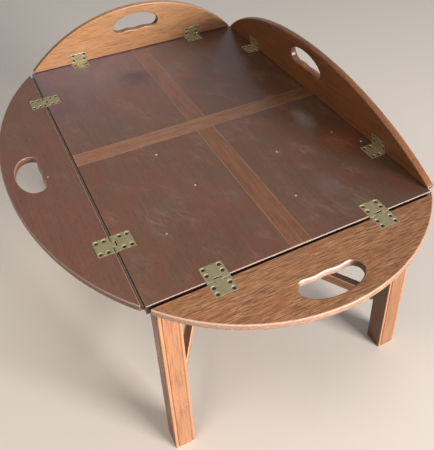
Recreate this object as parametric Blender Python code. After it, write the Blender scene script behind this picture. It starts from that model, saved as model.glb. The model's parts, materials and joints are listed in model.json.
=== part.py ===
"""Butler tray table: a tray with four hinged leaves that lifts off a legged stand.

Metres, +Z up. X runs along the tray's short sides and Y along its long sides. The left and
front leaves lie flat, and the back and right leaves stand raised, leaning in on the tray.
The origin is on the floor, under the middle of the box round the table in that state.
"""
import math
from dataclasses import dataclass

import bmesh
import bpy
from mathutils import Matrix, Vector

# Overall
TABLE_HEIGHT = 0.414
FIT_GAP = 0.0003
SEAM_GAP = 0.0002

# Tray
TRAY_WIDTH = 0.530
TRAY_LENGTH = 0.776
TRAY_THICKNESS = 0.016
VENEER_THICKNESS = 0.002
BAND_WIDTH = 0.039
BATTEN_WIDTH = 0.030
BATTEN_HEIGHT = 0.014
BATTEN_CLEARANCE = 0.0015

# Leaves
LEAF_REACH = 0.1305
# How far inside its hinge axis the middle of a leaf's oval curve lies
LONG_LEAF_MIDDLE = 0.180
SHORT_LEAF_MIDDLE = 0.240
LEAF_THICKNESS = 0.016
LEAF_EDGE_ROUND = 0.005
LEAF_ARRIS = 0.0008
LEAF_TIP_RADIUS = 0.002
# The most of a leaf's thickness that one of its two rounded arrises may take
LEAF_ROUND_SHARE = 0.45
RAISED_ANGLE = math.radians(100.0)

# Handholds
HOLD_LENGTH = 0.1135
HOLD_DEPTH = 0.046
HOLD_MARGIN = 0.0215
HOLD_CORNER_LENGTH = 0.015
HOLD_CORNER_DEPTH = 0.016
HOLD_WAVE = 0.002
HOLD_WAVE_COUNT = 2
HOLD_ROUND = 0.0045

# Hinges
HINGE_WIDTH = 0.039
HINGE_REACH = 0.0325
HINGE_INSET_SHORT = 0.1153
HINGE_INSET_LONG = 0.1435
HINGE_TO_TRAY = 0.0008
PLATE_THICKNESS = 0.002
KNUCKLE_RADIUS = 0.0034
KNUCKLE_LENGTH = 0.013
PIN_RADIUS = 0.00125
PIN_CLEARANCE = 0.00005
SCREW_HOLE_RADIUS = 0.0021
SCREW_TO_END = 0.0065
SCREW_TO_SIDE = 0.0061
SCREW_ROW_PITCH = 0.013

# Stand
LEG_SIZE = 0.038
LEG_INSET_SIDE = 0.015
LEG_INSET_END = 0.004
LEG_ARRIS = 0.0012
BEAD_WIDTH = 0.005
QUIRK_WIDTH = 0.0016
QUIRK_DEPTH = 0.0012
RAIL_HEIGHT = 0.050
RAIL_THICKNESS = 0.018
RAIL_SETBACK = 0.002
TENON_THICKNESS = 0.008
TENON_SHOULDER = 0.006
TENON_WEB = 0.005
STRETCHER_TOP = 0.133
STRETCHER_HEIGHT = 0.022
STRETCHER_THICKNESS = 0.016

# Facets in a full circle, a rounded edge and the long curves, and the sharpest turn shaded smooth
CIRCLE_STEPS = 16
SCREW_HOLE_STEPS = 10
ROUND_STEPS = 2
TIP_STEPS = 3
ARC_STEPS = 28
HOLD_ARC_STEPS = 14
HOLD_CORNER_STEPS = 4
HOLD_WAVE_STEPS = 16
SMOOTH_ANGLE = math.radians(40.0)

# Worked out from the sizes above
STAND_WIDTH = TRAY_WIDTH - 2 * LEG_INSET_SIDE
STAND_LENGTH = TRAY_LENGTH - 2 * LEG_INSET_END
STAND_HEIGHT = TABLE_HEIGHT - TRAY_THICKNESS - FIT_GAP
AXIS_X = TRAY_WIDTH / 2 + HINGE_TO_TRAY
AXIS_Y = TRAY_LENGTH / 2 + HINGE_TO_TRAY
HINGE_X_SHORT = TRAY_WIDTH / 2 - HINGE_INSET_SHORT
HINGE_X_LONG = TRAY_LENGTH / 2 - HINGE_INSET_LONG
# The tenons from two sides stop short of each other inside a leg
RAIL_CENTRE = RAIL_SETBACK + RAIL_THICKNESS / 2
TENON_LENGTH = LEG_SIZE - RAIL_CENTRE - TENON_THICKNESS / 2 - TENON_WEB
# A leaf clears the knuckles, and raised it leans in until its arris just clears the tray's top
LEAF_GAP = max(KNUCKLE_RADIUS / math.tan((math.pi - RAISED_ANGLE) / 2), KNUCKLE_RADIUS) + FIT_GAP
LEAF_BOTTOM = KNUCKLE_RADIUS - LEAF_THICKNESS
# Below the knuckles a leaf has a lip that reaches the tray's edge, which stops the leaf when it is level
LIP_TOP = -KNUCKLE_RADIUS - FIT_GAP
LIP_EDGE = FIT_GAP - HINGE_TO_TRAY
RAISED_SPREAD = (LIP_EDGE + LEAF_ARRIS) * math.cos(RAISED_ANGLE) - LEAF_BOTTOM * math.sin(RAISED_ANGLE)
ORIGIN_SHIFT = (LEAF_REACH - RAISED_SPREAD) / 2


@dataclass(frozen=True)
class Side:
    """One side of the tray: its hinge axis, its hinges along that, and how its leaf stands."""

    name: str
    yaw: float
    axis: tuple
    half_chord: float
    middle: float
    hinge_x: float
    raised: bool
    ends: dict


SIDES = [
    Side("left", math.pi / 2, (-AXIS_X, 0), AXIS_Y, LONG_LEAF_MIDDLE, HINGE_X_LONG, False,
         {1: "back", -1: "front"}),
    Side("front", math.pi, (0, -AXIS_Y), AXIS_X, SHORT_LEAF_MIDDLE, HINGE_X_SHORT, False,
         {1: "left", -1: "right"}),
    Side("back", 0, (0, AXIS_Y), AXIS_X, SHORT_LEAF_MIDDLE, HINGE_X_SHORT, True,
         {1: "right", -1: "left"}),
    Side("right", -math.pi / 2, (AXIS_X, 0), AXIS_Y, LONG_LEAF_MIDDLE, HINGE_X_LONG, True,
         {1: "front", -1: "back"}),
]


def clear_scene():
    for item in list(bpy.data.objects):
        bpy.data.objects.remove(item)


# Finishes

def linear(colour):
    """Linear RGBA of a 24-bit sRGB colour."""
    channels = [(colour >> shift & 255) / 255 for shift in (16, 8, 0)]
    return [c / 12.92 if c <= 0.04045 else ((c + 0.055) / 1.055) ** 2.4 for c in channels] + [1.0]


def finish(name, colour, roughness, metallic=0.0):
    material = bpy.data.materials.new(name)
    material.use_nodes = True
    shader = material.node_tree.nodes["Principled BSDF"]
    shader.inputs["Base Color"].default_value = linear(colour)
    shader.inputs["Roughness"].default_value = roughness
    shader.inputs["Metallic"].default_value = metallic
    return material


# Objects

def add_empty(name, location, yaw=0.0, tilt=0.0, parent=None):
    empty = bpy.data.objects.new(name, None)
    bpy.context.collection.objects.link(empty)
    empty.location = location
    empty.rotation_euler = (tilt, 0, yaw)
    empty.parent = parent
    return empty


def add_piece(name, mesh, material, parent, location=(0, 0, 0), yaw=0.0):
    piece = bpy.data.objects.new(name, mesh)
    bpy.context.collection.objects.link(piece)
    if not mesh.materials:
        mesh.materials.append(material)
    piece.location = location
    piece.rotation_euler = (0, 0, yaw)
    piece.parent = parent
    return piece


def add_cutter(name, mesh, parent=None, location=(0, 0, 0), yaw=0.0):
    cutter = bpy.data.objects.new(name, mesh)
    bpy.context.collection.objects.link(cutter)
    cutter.location = location
    cutter.rotation_euler = (0, 0, yaw)
    cutter.parent = parent
    cutter.hide_render = True
    cutter.display_type = "WIRE"
    return cutter


def cut(piece, cutter):
    modifier = piece.modifiers.new(cutter.name, "BOOLEAN")
    modifier.operation = "DIFFERENCE"
    modifier.solver = "EXACT"
    modifier.object = cutter


# Meshes

def shade(mesh):
    """Shade a mesh smooth, except across its sharp edges."""
    mesh.shade_smooth()
    mesh.set_sharp_from_angle(angle=SMOOTH_ANGLE)


def mesh_from(bm, name):
    """Turn a bmesh into a named mesh with its faces pointing out."""
    bmesh.ops.recalc_face_normals(bm, faces=bm.faces)
    mesh = bpy.data.meshes.new(name)
    bm.to_mesh(mesh)
    bm.free()
    shade(mesh)
    return mesh


def add_box(bm, low, high):
    low = Vector(low)
    high = Vector(high)
    place = Matrix.Translation((low + high) / 2) @ Matrix.Diagonal((*(high - low), 1))
    bmesh.ops.create_cube(bm, size=1, matrix=place)


def box_mesh(name, low, high):
    bm = bmesh.new()
    add_box(bm, low, high)
    return mesh_from(bm, name)


def add_rod(bm, radius, steps, start, end):
    """A straight round bar from start to end."""
    along = Vector(end) - Vector(start)
    middle = (Vector(start) + Vector(end)) / 2
    turn = Vector((0, 0, 1)).rotation_difference(along).to_matrix().to_4x4()
    bmesh.ops.create_cone(bm, cap_ends=True, segments=steps, radius1=radius, radius2=radius,
                          depth=along.length, matrix=Matrix.Translation(middle) @ turn)


def prism_mesh(name, outline, place):
    """A closed outline of 2-D points, swept between the two ends that place gives."""
    bm = bmesh.new()
    ends = [[bm.verts.new(place(point, end)) for point in outline] for end in (0, 1)]
    for ring in ends:
        bm.faces.new(ring)
    for i in range(len(outline)):
        j = (i + 1) % len(outline)
        bm.faces.new([ends[0][i], ends[0][j], ends[1][j], ends[1][i]])
    return mesh_from(bm, name)


def arc(centre, radii, start, end, steps):
    """Points along an elliptical arc, both ends included."""
    points = []
    for i in range(steps + 1):
        angle = start + (end - start) * i / steps
        points.append((centre[0] + radii[0] * math.cos(angle), centre[1] + radii[1] * math.sin(angle)))
    return points


# Leaves: x along the hinge axis, y out from it, z up, with the axis at z = 0

def leaf_outline(side, inset, edge_inset, has_lip):
    """The leaf's plan, drawn in by inset round its curve and by edge_inset at the joint."""
    rise = LEAF_REACH + side.middle
    run = side.half_chord / math.sqrt(1 - (side.middle / rise) ** 2)
    radii = (run - inset, rise - inset)
    tip = max(LEAF_TIP_RADIUS - inset, LEAF_ARRIS)
    tip_y = LEAF_GAP + edge_inset + tip
    turn = math.asin((tip_y + side.middle) / (radii[1] - tip))
    tip_x = (radii[0] - tip) * math.cos(turn)
    meet = math.atan2(math.sin(turn) / radii[1], math.cos(turn) / radii[0])
    right = arc((tip_x, tip_y), (tip, tip), -math.pi / 2, meet, TIP_STEPS)
    crown = arc((0, -side.middle), radii, turn, math.pi - turn, ARC_STEPS)[1:-1]
    left = arc((-tip_x, tip_y), (tip, tip), math.pi - meet, 1.5 * math.pi, TIP_STEPS)
    if has_lip:
        right[0] = (tip_x, LIP_EDGE + edge_inset)
        left[-1] = (-tip_x, LIP_EDGE + edge_inset)
    return right + crown + left


def handhold_outline(grow):
    """The handhold: a curved outer edge, round ends and waves for the fingers along its inner edge."""
    half = HOLD_LENGTH / 2
    outer = LEAF_REACH - HOLD_MARGIN
    inner = outer - HOLD_DEPTH
    waist = inner + HOLD_CORNER_DEPTH
    flat = half - HOLD_CORNER_LENGTH
    corner = (HOLD_CORNER_LENGTH, HOLD_CORNER_DEPTH)
    points = arc((0, waist), (half, outer - waist), 0, math.pi, HOLD_ARC_STEPS)
    points += arc((-flat, waist), corner, math.pi, 1.5 * math.pi, HOLD_CORNER_STEPS)[1:]
    for i in range(1, HOLD_WAVE_STEPS):
        x = flat * (2 * i / HOLD_WAVE_STEPS - 1)
        phase = HOLD_WAVE_COUNT * math.pi * (1 + x / flat)
        points.append((x, inner + HOLD_WAVE * (1 - math.cos(phase)) / 2))
    points += arc((flat, waist), corner, 1.5 * math.pi, 2 * math.pi, HOLD_CORNER_STEPS)[:-1]
    grown = []
    for i, point in enumerate(points):
        before = Vector(points[i - 1])
        after = Vector(points[(i + 1) % len(points)])
        along = (after - before).normalized()
        grown.append((point[0] + grow * along.y, point[1] - grow * along.x))
    return grown


def rounded_levels(radius):
    """Inset and height, bottom to top, of a board's edge rounded over above and below."""
    radius = min(radius, LEAF_ROUND_SHARE * LEAF_THICKNESS)
    quarter = []
    for i in range(ROUND_STEPS + 1):
        angle = math.pi / 2 * i / ROUND_STEPS
        quarter.append((radius * (1 - math.sin(angle)), radius * (1 - math.cos(angle))))
    below = [(inset, LEAF_BOTTOM + rise) for inset, rise in quarter]
    above = [(inset, KNUCKLE_RADIUS - rise) for inset, rise in reversed(quarter)]
    return below + above


def lip_levels(levels):
    """Inset, height and whether it has the lip for each level, with a step at the lip's top."""
    rim = [(inset, z, z < LIP_TOP) for inset, z in levels]
    step = sum(has_lip for _, _, has_lip in rim)
    if 0 < step < len(levels):
        (inset, low), (next_inset, high) = levels[step - 1:step + 1]
        inset += (next_inset - inset) * (LIP_TOP - low) / (high - low)
        rim[step:step] = [(inset, LIP_TOP, True), (inset, LIP_TOP, False)]
    return rim


def add_wall(bm, rings):
    """Faces between stacked rings of points; returns the edges of the lowest and highest ring."""
    rows = []
    shared = {}
    for ring in rings:
        rows.append([shared.get(point) or bm.verts.new(point) for point in ring])
        shared = dict(zip(ring, rows[-1]))
    count = len(rows[0])
    for low, high in zip(rows, rows[1:]):
        for i in range(count):
            j = (i + 1) % count
            corners = list(dict.fromkeys([low[i], low[j], high[j], high[i]]))
            if len(corners) > 2:
                bm.faces.new(corners)
    return [[bm.edges.get((row[i], row[(i + 1) % count])) for i in range(count)]
            for row in (rows[0], rows[-1])]


def leaf_mesh(side):
    bm = bmesh.new()
    edge_round = max(LEAF_EDGE_ROUND, LEAF_ARRIS)
    rim = []
    for inset, z, has_lip in lip_levels(rounded_levels(edge_round)):
        outline = leaf_outline(side, inset, inset * LEAF_ARRIS / edge_round, has_lip)
        rim.append([(x, y, z) for x, y in outline])
    hold = []
    for inset, z in rounded_levels(HOLD_ROUND):
        hold.append([(x, y, z) for x, y in handhold_outline(inset)])
    for outer, inner in zip(add_wall(bm, rim), add_wall(bm, hold)):
        bmesh.ops.triangle_fill(bm, use_beauty=True, edges=outer + inner)
    return mesh_from(bm, "leaf_" + side.name)


# Hinges: x along the pin, y out towards the leaf, z up, with the pin at z = 0

def plate_outline(sign):
    """End view of a plate that runs into its knuckle; sign is 1 on the leaf's side."""
    under = KNUCKLE_RADIUS - PLATE_THICKNESS
    meet = math.acos(under / KNUCKLE_RADIUS)
    turn = arc((0, 0), (sign * KNUCKLE_RADIUS, KNUCKLE_RADIUS), math.pi / 2, 2.5 * math.pi - meet,
               CIRCLE_STEPS)
    return [(sign * HINGE_REACH, under), (sign * HINGE_REACH, KNUCKLE_RADIUS)] + turn


def plate_cutter(sign):
    """What leaves a plate only its own knuckles, with their bore and the screw holes."""
    room = KNUCKLE_LENGTH / 2 - sign * FIT_GAP / 2
    spans = [(-room, room)] if sign < 0 else [(-HINGE_WIDTH, -room), (room, HINGE_WIDTH)]
    bm = bmesh.new()
    for start, end in spans:
        near, far = sorted((sign * LEAF_GAP, -sign * HINGE_REACH))
        add_box(bm, (start, near, -HINGE_REACH), (end, far, HINGE_REACH))
    for column in (-1, 1):
        for row in (0, 1):
            x = column * (HINGE_WIDTH / 2 - SCREW_TO_SIDE)
            y = sign * (HINGE_REACH - SCREW_TO_END - row * SCREW_ROW_PITCH)
            add_rod(bm, SCREW_HOLE_RADIUS, SCREW_HOLE_STEPS, (x, y, -HINGE_REACH), (x, y, HINGE_REACH))
    return mesh_from(bm, "plate_cutter")


def bore_cutter():
    """The pin's bore, whose flats clear the pin at any turn."""
    bm = bmesh.new()
    radius = (PIN_RADIUS + PIN_CLEARANCE) / math.cos(math.pi / CIRCLE_STEPS)
    add_rod(bm, radius, CIRCLE_STEPS, (-HINGE_WIDTH, 0, 0), (HINGE_WIDTH, 0, 0))
    return mesh_from(bm, "bore_cutter")


def plate_mesh(sign, name):
    """One hinge plate with its knuckles, cut to its finished shape."""
    def place(point, end):
        return ((end - 0.5) * HINGE_WIDTH, point[0], point[1])

    blank = add_cutter(name, prism_mesh(name, plate_outline(sign), place))
    cutters = [add_cutter("knuckle_room", plate_cutter(sign)), add_cutter("pin_bore", bore_cutter())]
    for cutter in cutters:
        cut(blank, cutter)
    scene = bpy.context.evaluated_depsgraph_get()
    mesh = bpy.data.meshes.new_from_object(blank.evaluated_get(scene))
    for item in [blank] + cutters:
        bpy.data.objects.remove(item)
    mesh.name = name
    shade(mesh)
    return mesh


def pin_mesh():
    bm = bmesh.new()
    add_rod(bm, PIN_RADIUS, CIRCLE_STEPS, (-HINGE_WIDTH / 2, 0, 0), (HINGE_WIDTH / 2, 0, 0))
    return mesh_from(bm, "hinge_pin")


def pocket_mesh(sign):
    """Room for a plate in the wood, and on the tray's side for the knuckles too."""
    above = KNUCKLE_RADIUS + HINGE_REACH
    floor = KNUCKLE_RADIUS - PLATE_THICKNESS - FIT_GAP
    back = sign * (HINGE_REACH + FIT_GAP)
    outline = [(back, above), (back, floor)]
    if sign < 0:
        trench = -KNUCKLE_RADIUS - FIT_GAP
        outline += [(-LEAF_GAP - FIT_GAP, floor), (-LEAF_GAP - FIT_GAP, trench), (KNUCKLE_RADIUS, trench),
                    (KNUCKLE_RADIUS, above)]
    else:
        outline += [(0, floor), (0, above)]

    def place(point, end):
        return ((end - 0.5) * (HINGE_WIDTH + 2 * FIT_GAP), point[0], point[1])

    return prism_mesh("hinge_pocket", outline, place)


# Stand

def leg_outline():
    """Leg section: beads with their quirks along the edges of the two outer faces, -X and -Y."""
    half = LEG_SIZE / 2
    a = LEG_ARRIS
    near = BEAD_WIDTH
    far = BEAD_WIDTH + QUIRK_WIDTH
    face = [(-half + a, 0), (-half + near, 0), (-half + (near + far) / 2, QUIRK_DEPTH), (-half + far, 0),
            (half - far, 0), (half - (near + far) / 2, QUIRK_DEPTH), (half - near, 0), (half - a, 0)]
    front = [(x, -half + depth) for x, depth in face]
    inner = [(half, -half + a), (half, half - a), (half - a, half), (-half + a, half)]
    left = [(-half + depth, y) for y, depth in reversed(face)]
    return front + inner + left


def leg_mesh():
    def place(point, end):
        return (point[0], point[1], end * STAND_HEIGHT)

    return prism_mesh("leg", leg_outline(), place)


def tenon_box(length, grow):
    """Low and high corners of the tenons of a rail that is length long between its shoulders."""
    reach = length / 2 + TENON_LENGTH + grow
    half = TENON_THICKNESS / 2 + grow
    top = STAND_HEIGHT - TENON_SHOULDER + grow
    bottom = STAND_HEIGHT - RAIL_HEIGHT + TENON_SHOULDER - grow
    return (-reach, -half, bottom), (reach, half, top)


def rail_mesh(name, length):
    """A rail along X with a tenon at each end."""
    bm = bmesh.new()
    low = (-length / 2, -RAIL_THICKNESS / 2, STAND_HEIGHT - RAIL_HEIGHT)
    add_box(bm, low, (length / 2, RAIL_THICKNESS / 2, STAND_HEIGHT))
    tenon_low, tenon_high = tenon_box(length, 0)
    for end in (-1, 1):
        shoulder = max(bm.faces, key=lambda face: face.normal.x * end)
        bmesh.ops.inset_individual(bm, faces=[shoulder], thickness=FIT_GAP)
        for vert in shoulder.verts:
            vert.co.y = math.copysign(tenon_high[1], vert.co.y)
            vert.co.z = tenon_high[2] if vert.co.z > STAND_HEIGHT - RAIL_HEIGHT / 2 else tenon_low[2]
        pushed = bmesh.ops.extrude_discrete_faces(bm, faces=[shoulder])["faces"]
        for vert in pushed[0].verts:
            vert.co.x = end * tenon_high[0]
    return mesh_from(bm, name)


def stretcher_mesh(name, angle, inner_y):
    """A diagonal bar, its ends mitred to the legs' inner faces."""
    half = STRETCHER_THICKNESS / 2
    slope = math.tan(angle)
    end_y = inner_y - FIT_GAP
    shift = half / math.cos(angle)
    outline = []
    for y, sign in ((-end_y, -1), (-end_y, 1), (end_y, 1), (end_y, -1)):
        outline.append(((y - sign * shift) / slope, y))

    def place(point, end):
        return (point[0], point[1], STRETCHER_TOP - (1 - end) * STRETCHER_HEIGHT)

    return prism_mesh(name, outline, place)


def lap_mesh(lap_from_top):
    """What one stretcher gives up to its twin, which runs along X here."""
    middle = STRETCHER_TOP - STRETCHER_HEIGHT / 2
    half = STRETCHER_THICKNESS / 2 + FIT_GAP
    if lap_from_top:
        low, high = middle - FIT_GAP / 2, STRETCHER_TOP + STRETCHER_HEIGHT
    else:
        low, high = STRETCHER_TOP - 2 * STRETCHER_HEIGHT, middle + FIT_GAP / 2
    return box_mesh("lap_cutter", (-STAND_WIDTH / 2, -half, low), (STAND_WIDTH / 2, half, high))


def build_stand(root, wood):
    leg_x = (STAND_WIDTH - LEG_SIZE) / 2
    leg_y = (STAND_LENGTH - LEG_SIZE) / 2
    rails = [("front", STAND_WIDTH, (0, -1), 0), ("back", STAND_WIDTH, (0, 1), 0),
             ("left", STAND_LENGTH, (-1, 0), math.pi / 2), ("right", STAND_LENGTH, (1, 0), math.pi / 2)]
    mortises = {}
    for name, span, side, yaw in rails:
        length = span - 2 * (LEG_SIZE + FIT_GAP)
        location = (side[0] * (STAND_WIDTH / 2 - RAIL_CENTRE), side[1] * (STAND_LENGTH / 2 - RAIL_CENTRE), 0)
        add_piece("rail_" + name, rail_mesh("rail_" + name, length), wood, root, location, yaw)
        low, high = tenon_box(length, FIT_GAP)
        mortises[name] = add_cutter("mortise_" + name, box_mesh("mortise", low, high), root, location, yaw)
    mesh = leg_mesh()
    for end, sign_y in (("front", -1), ("back", 1)):
        for flank, sign_x in (("left", -1), ("right", 1)):
            yaw = math.atan2(sign_y, sign_x) - math.atan2(-1, -1)
            name = "leg_" + end + "_" + flank
            leg = add_piece(name, mesh, wood, root, (sign_x * leg_x, sign_y * leg_y, 0), yaw)
            cut(leg, mortises[end])
            cut(leg, mortises[flank])
    angle = math.atan2(leg_y, leg_x)
    for name, sign, lap_from_top in (("rising", 1, True), ("falling", -1, False)):
        mesh = stretcher_mesh("stretcher", sign * angle, leg_y - LEG_SIZE / 2)
        bar = add_piece("cross_stretcher_" + name, mesh, wood, root)
        cut(bar, add_cutter("lap_" + name, lap_mesh(lap_from_top), root, yaw=-sign * angle))


# Tray

def build_tray(datum, pockets, finishes):
    """The board, its veneers and battens, below the datum at the tray's top."""
    half_x = TRAY_WIDTH / 2
    half_y = TRAY_LENGTH / 2
    half_band = BAND_WIDTH / 2
    under = -TRAY_THICKNESS
    mesh = box_mesh("tray_board", (-half_x, -half_y, under), (half_x, half_y, -VENEER_THICKNESS - FIT_GAP))
    board = add_piece("tray_board", mesh, finishes["field"], datum)
    for pocket in pockets.values():
        cut(board, pocket)
    mesh = box_mesh("band_short", (-half_x, -half_band, -VENEER_THICKNESS), (half_x, half_band, 0))
    add_piece("band_short", mesh, finishes["band"], datum)
    edge = half_band + SEAM_GAP
    for end, sign_y in (("front", -1), ("back", 1)):
        low, high = sorted((sign_y * edge, sign_y * half_y))
        mesh = box_mesh("band_long", (-half_band, low, -VENEER_THICKNESS), (half_band, high, 0))
        add_piece("band_long_" + end, mesh, finishes["band"], datum)
        for flank, sign_x in (("left", -1), ("right", 1)):
            near, far = sorted((sign_x * edge, sign_x * half_x))
            mesh = box_mesh("field", (near, low, -VENEER_THICKNESS), (far, high, 0))
            field = add_piece("field_" + end + "_" + flank, mesh, finishes["field"], datum)
            cut(field, pockets[end, flank])
            cut(field, pockets[flank, end])
    inside_y = STAND_LENGTH / 2 - RAIL_SETBACK - RAIL_THICKNESS - BATTEN_CLEARANCE
    half_length = STAND_WIDTH / 2 - LEG_SIZE - BATTEN_CLEARANCE
    for end, sign_y in (("front", -1), ("back", 1)):
        low, high = sorted((sign_y * inside_y, sign_y * (inside_y - BATTEN_WIDTH)))
        mesh = box_mesh("batten", (-half_length, low, under - FIT_GAP - BATTEN_HEIGHT),
                        (half_length, high, under - FIT_GAP))
        add_piece("batten_" + end, mesh, finishes["stand"], datum)


def build_leaves(datum, finishes):
    """Leaves and hinges on their axes; returns the pockets that the hinges need in the tray."""
    tray_plate = plate_mesh(-1, "tray_plate")
    leaf_plate = plate_mesh(1, "leaf_plate")
    pin = pin_mesh()
    tray_pocket = pocket_mesh(-1)
    leaf_pocket = pocket_mesh(1)
    pockets = {}
    for side in SIDES:
        tilt = RAISED_ANGLE if side.raised else 0.0
        joint = add_empty("joint_" + side.name, (*side.axis, -KNUCKLE_RADIUS), side.yaw, parent=datum)
        swing = add_empty("swing_" + side.name, (0, 0, 0), tilt=tilt, parent=joint)
        leaf = add_piece("leaf_" + side.name, leaf_mesh(side), finishes["leaf"], swing)
        for sign, end in side.ends.items():
            place = (sign * side.hinge_x, 0, 0)
            name = "hinge_" + side.name + "_" + end
            add_piece(name + "_tray_plate", tray_plate, finishes["brass"], joint, place)
            add_piece(name + "_leaf_plate", leaf_plate, finishes["brass"], swing, place)
            add_piece(name + "_pin", pin, finishes["brass"], joint, place)
            pockets[side.name, end] = add_cutter(name + "_tray_pocket", tray_pocket, joint, place)
            cut(leaf, add_cutter(name + "_leaf_pocket", leaf_pocket, swing, place))
    return pockets


def main():
    clear_scene()
    finishes = {
        "field": finish("field_mahogany", 0x6E4E42, 0.35),
        "band": finish("band_mahogany", 0x875C46, 0.35),
        "leaf": finish("leaf_mahogany", 0x9A6A4C, 0.35),
        "stand": finish("stand_mahogany", 0xB87A52, 0.40),
        "brass": finish("aged_brass", 0x8C825F, 0.45, 1.0),
    }
    root = add_empty("table", (ORIGIN_SHIFT, ORIGIN_SHIFT, 0))
    datum = add_empty("tray", (0, 0, TABLE_HEIGHT), parent=root)
    build_stand(root, finishes["stand"])
    pockets = build_leaves(datum, finishes)
    build_tray(datum, pockets, finishes)


if __name__ == "__main__":
    main()
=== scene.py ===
"""Looks of a butler tray table: a veneered tray, four hinged leaves, brass hinges and a legged stand.

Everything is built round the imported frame, in metres with +Z up. A leaf, its hinges and its screws
are made in the frame of their hinge: x along the pin, y out to the leaf, z up, the pin at z = 0.
"""
import json
import logging
import math
from dataclasses import dataclass
from enum import Enum
from typing import Any, Callable, Iterable, Sequence

import bmesh
import bpy
from mathutils import Matrix, Vector


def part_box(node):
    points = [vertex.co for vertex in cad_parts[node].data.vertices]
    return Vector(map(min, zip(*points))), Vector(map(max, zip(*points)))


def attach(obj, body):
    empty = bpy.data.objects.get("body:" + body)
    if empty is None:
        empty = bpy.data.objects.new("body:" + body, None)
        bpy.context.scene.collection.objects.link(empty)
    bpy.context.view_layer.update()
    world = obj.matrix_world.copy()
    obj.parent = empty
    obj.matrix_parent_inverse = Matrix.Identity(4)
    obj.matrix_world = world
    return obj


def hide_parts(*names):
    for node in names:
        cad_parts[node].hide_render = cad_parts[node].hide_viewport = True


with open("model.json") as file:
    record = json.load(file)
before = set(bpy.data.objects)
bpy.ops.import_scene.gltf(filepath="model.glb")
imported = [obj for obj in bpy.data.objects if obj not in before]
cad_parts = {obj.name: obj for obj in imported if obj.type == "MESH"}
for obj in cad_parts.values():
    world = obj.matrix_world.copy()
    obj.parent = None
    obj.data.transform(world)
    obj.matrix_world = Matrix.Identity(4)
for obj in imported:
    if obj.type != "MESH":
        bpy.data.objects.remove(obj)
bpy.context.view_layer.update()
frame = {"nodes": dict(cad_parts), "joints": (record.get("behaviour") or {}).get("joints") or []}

MM = 0.001
# Points closer than this are one, and so are faces that turn less; edges that turn more stay crisp
TOUCH = 1e-5
FLAT_TURN = math.radians(1.0)
SHARP_TURN = math.radians(35.0)
# How much of a face's normal lies at least along an axis that the face is square to
SQUARE = 0.999
FINISHED = "_finished"
# The face attribute that holds worn paleness, painted highlight and painted shade
WORN_AND_LIT = "worn"
LOG = logging.getLogger("butler_tray_table")

Point = tuple[float, float]
Colour = tuple[float, float, float, float]
Tree = bpy.types.NodeTree
Socket = bpy.types.NodeSocket
Material = bpy.types.Material
Mesh = bpy.types.Mesh
BMesh = bmesh.types.BMesh
Face = bmesh.types.BMFace
Edge = bmesh.types.BMEdge
Picks = Callable[[Edge], bool]
WearAndLight = Callable[[Vector, bool], float]


# Materials

def srgb(code: str) -> Colour:
    """Turn an sRGB hex colour into linear RGBA.

    Args:
        code: Six hex digits.

    Returns:
        Linear red, green and blue, with an alpha of 1.
    """
    channels = [int(code[i:i + 2], 16) / 255 for i in (0, 2, 4)]
    linear = [c / 12.92 if c <= 0.04045 else ((c + 0.055) / 1.055) ** 2.4 for c in channels]
    return (*linear, 1.0)


def add_node(tree: Tree, kind: str, out: str = "", inputs: dict[str, Any] | None = None,
             **settings: Any) -> Socket | None:
    """Add a node, set it up and link it.

    Args:
        tree: The tree that gets the node.
        kind: The node's type.
        out: The name or identifier of the output to return; the first one if empty.
        inputs: A value or an output socket for each input, by its identifier or name.
        settings: Values for the node's own properties.

    Returns:
        The chosen output socket, or None for a node that has none.
    """
    node = tree.nodes.new(kind)
    for name, value in settings.items():
        setattr(node, name, value)
    for key, value in (inputs or {}).items():
        sockets = [s for s in node.inputs if s.identifier == key] or [s for s in node.inputs if s.name == key]
        if isinstance(value, Socket):
            tree.links.new(value, sockets[0])
        else:
            sockets[0].default_value = value
    return next((s for s in node.outputs if out in ("", s.identifier, s.name)), None)


def new_material(name: str) -> tuple[Material, Tree]:
    """Make an empty node material.

    Args:
        name: The material's name.

    Returns:
        The material and its node tree.
    """
    material = bpy.data.materials.new(name)
    material.use_nodes = True
    material.node_tree.nodes.clear()
    return material, material.node_tree


class Grain(Enum):
    """Which way the grain runs, as the turn that brings it onto X."""

    ALONG_X = (0.0, 0.0, 0.0)
    ALONG_Y = (0.0, 0.0, -math.pi / 2)
    ALONG_Z = (0.0, math.pi / 2, 0.0)


@dataclass(frozen=True)
class TintPatch:
    """A patch of tint with a ragged edge on the top, here painting reflections and a darker patch: its
    middle, its reach along X and Y, its tint and strength.
    """

    middle: Point
    reach_mm: Point
    tint: str
    share: float
    ragged_mm: float = 26.0
    raggedness: float = 0.9
    fade: Point = (1.5, 0.6)

    def mask(self, tree: Tree, place: Socket) -> Socket:
        """Draw the mark.

        Args:
            tree: The material's tree.
            place: Object coordinates.

        Returns:
            A mask of the mark.
        """
        scale = [1 / (reach * MM) for reach in self.reach_mm]
        off = [-at * size for at, size in zip(self.middle, scale)]
        from_middle = add_node(tree, "ShaderNodeVectorMath", operation="MULTIPLY_ADD", inputs={
            "Vector": place, "Vector_001": (*scale, 0.0), "Vector_002": (*off, 0.0)})
        far = add_node(tree, "ShaderNodeVectorMath", "Value", {"Vector": from_middle}, operation="LENGTH")
        ragged = add_node(tree, "ShaderNodeTexNoise", "Fac",
                          {"Vector": place, "Scale": 1 / (self.ragged_mm * MM), "Detail": 3.0})
        far = add_node(tree, "ShaderNodeMath", operation="MULTIPLY_ADD", inputs={
            "Value": ragged, "Value_001": self.raggedness, "Value_002": far})
        return add_node(tree, "ShaderNodeMapRange", "Result", interpolation_type="SMOOTHSTEP", inputs={
            "Value": far, "From Min": self.fade[0], "From Max": self.fade[1]})


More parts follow.
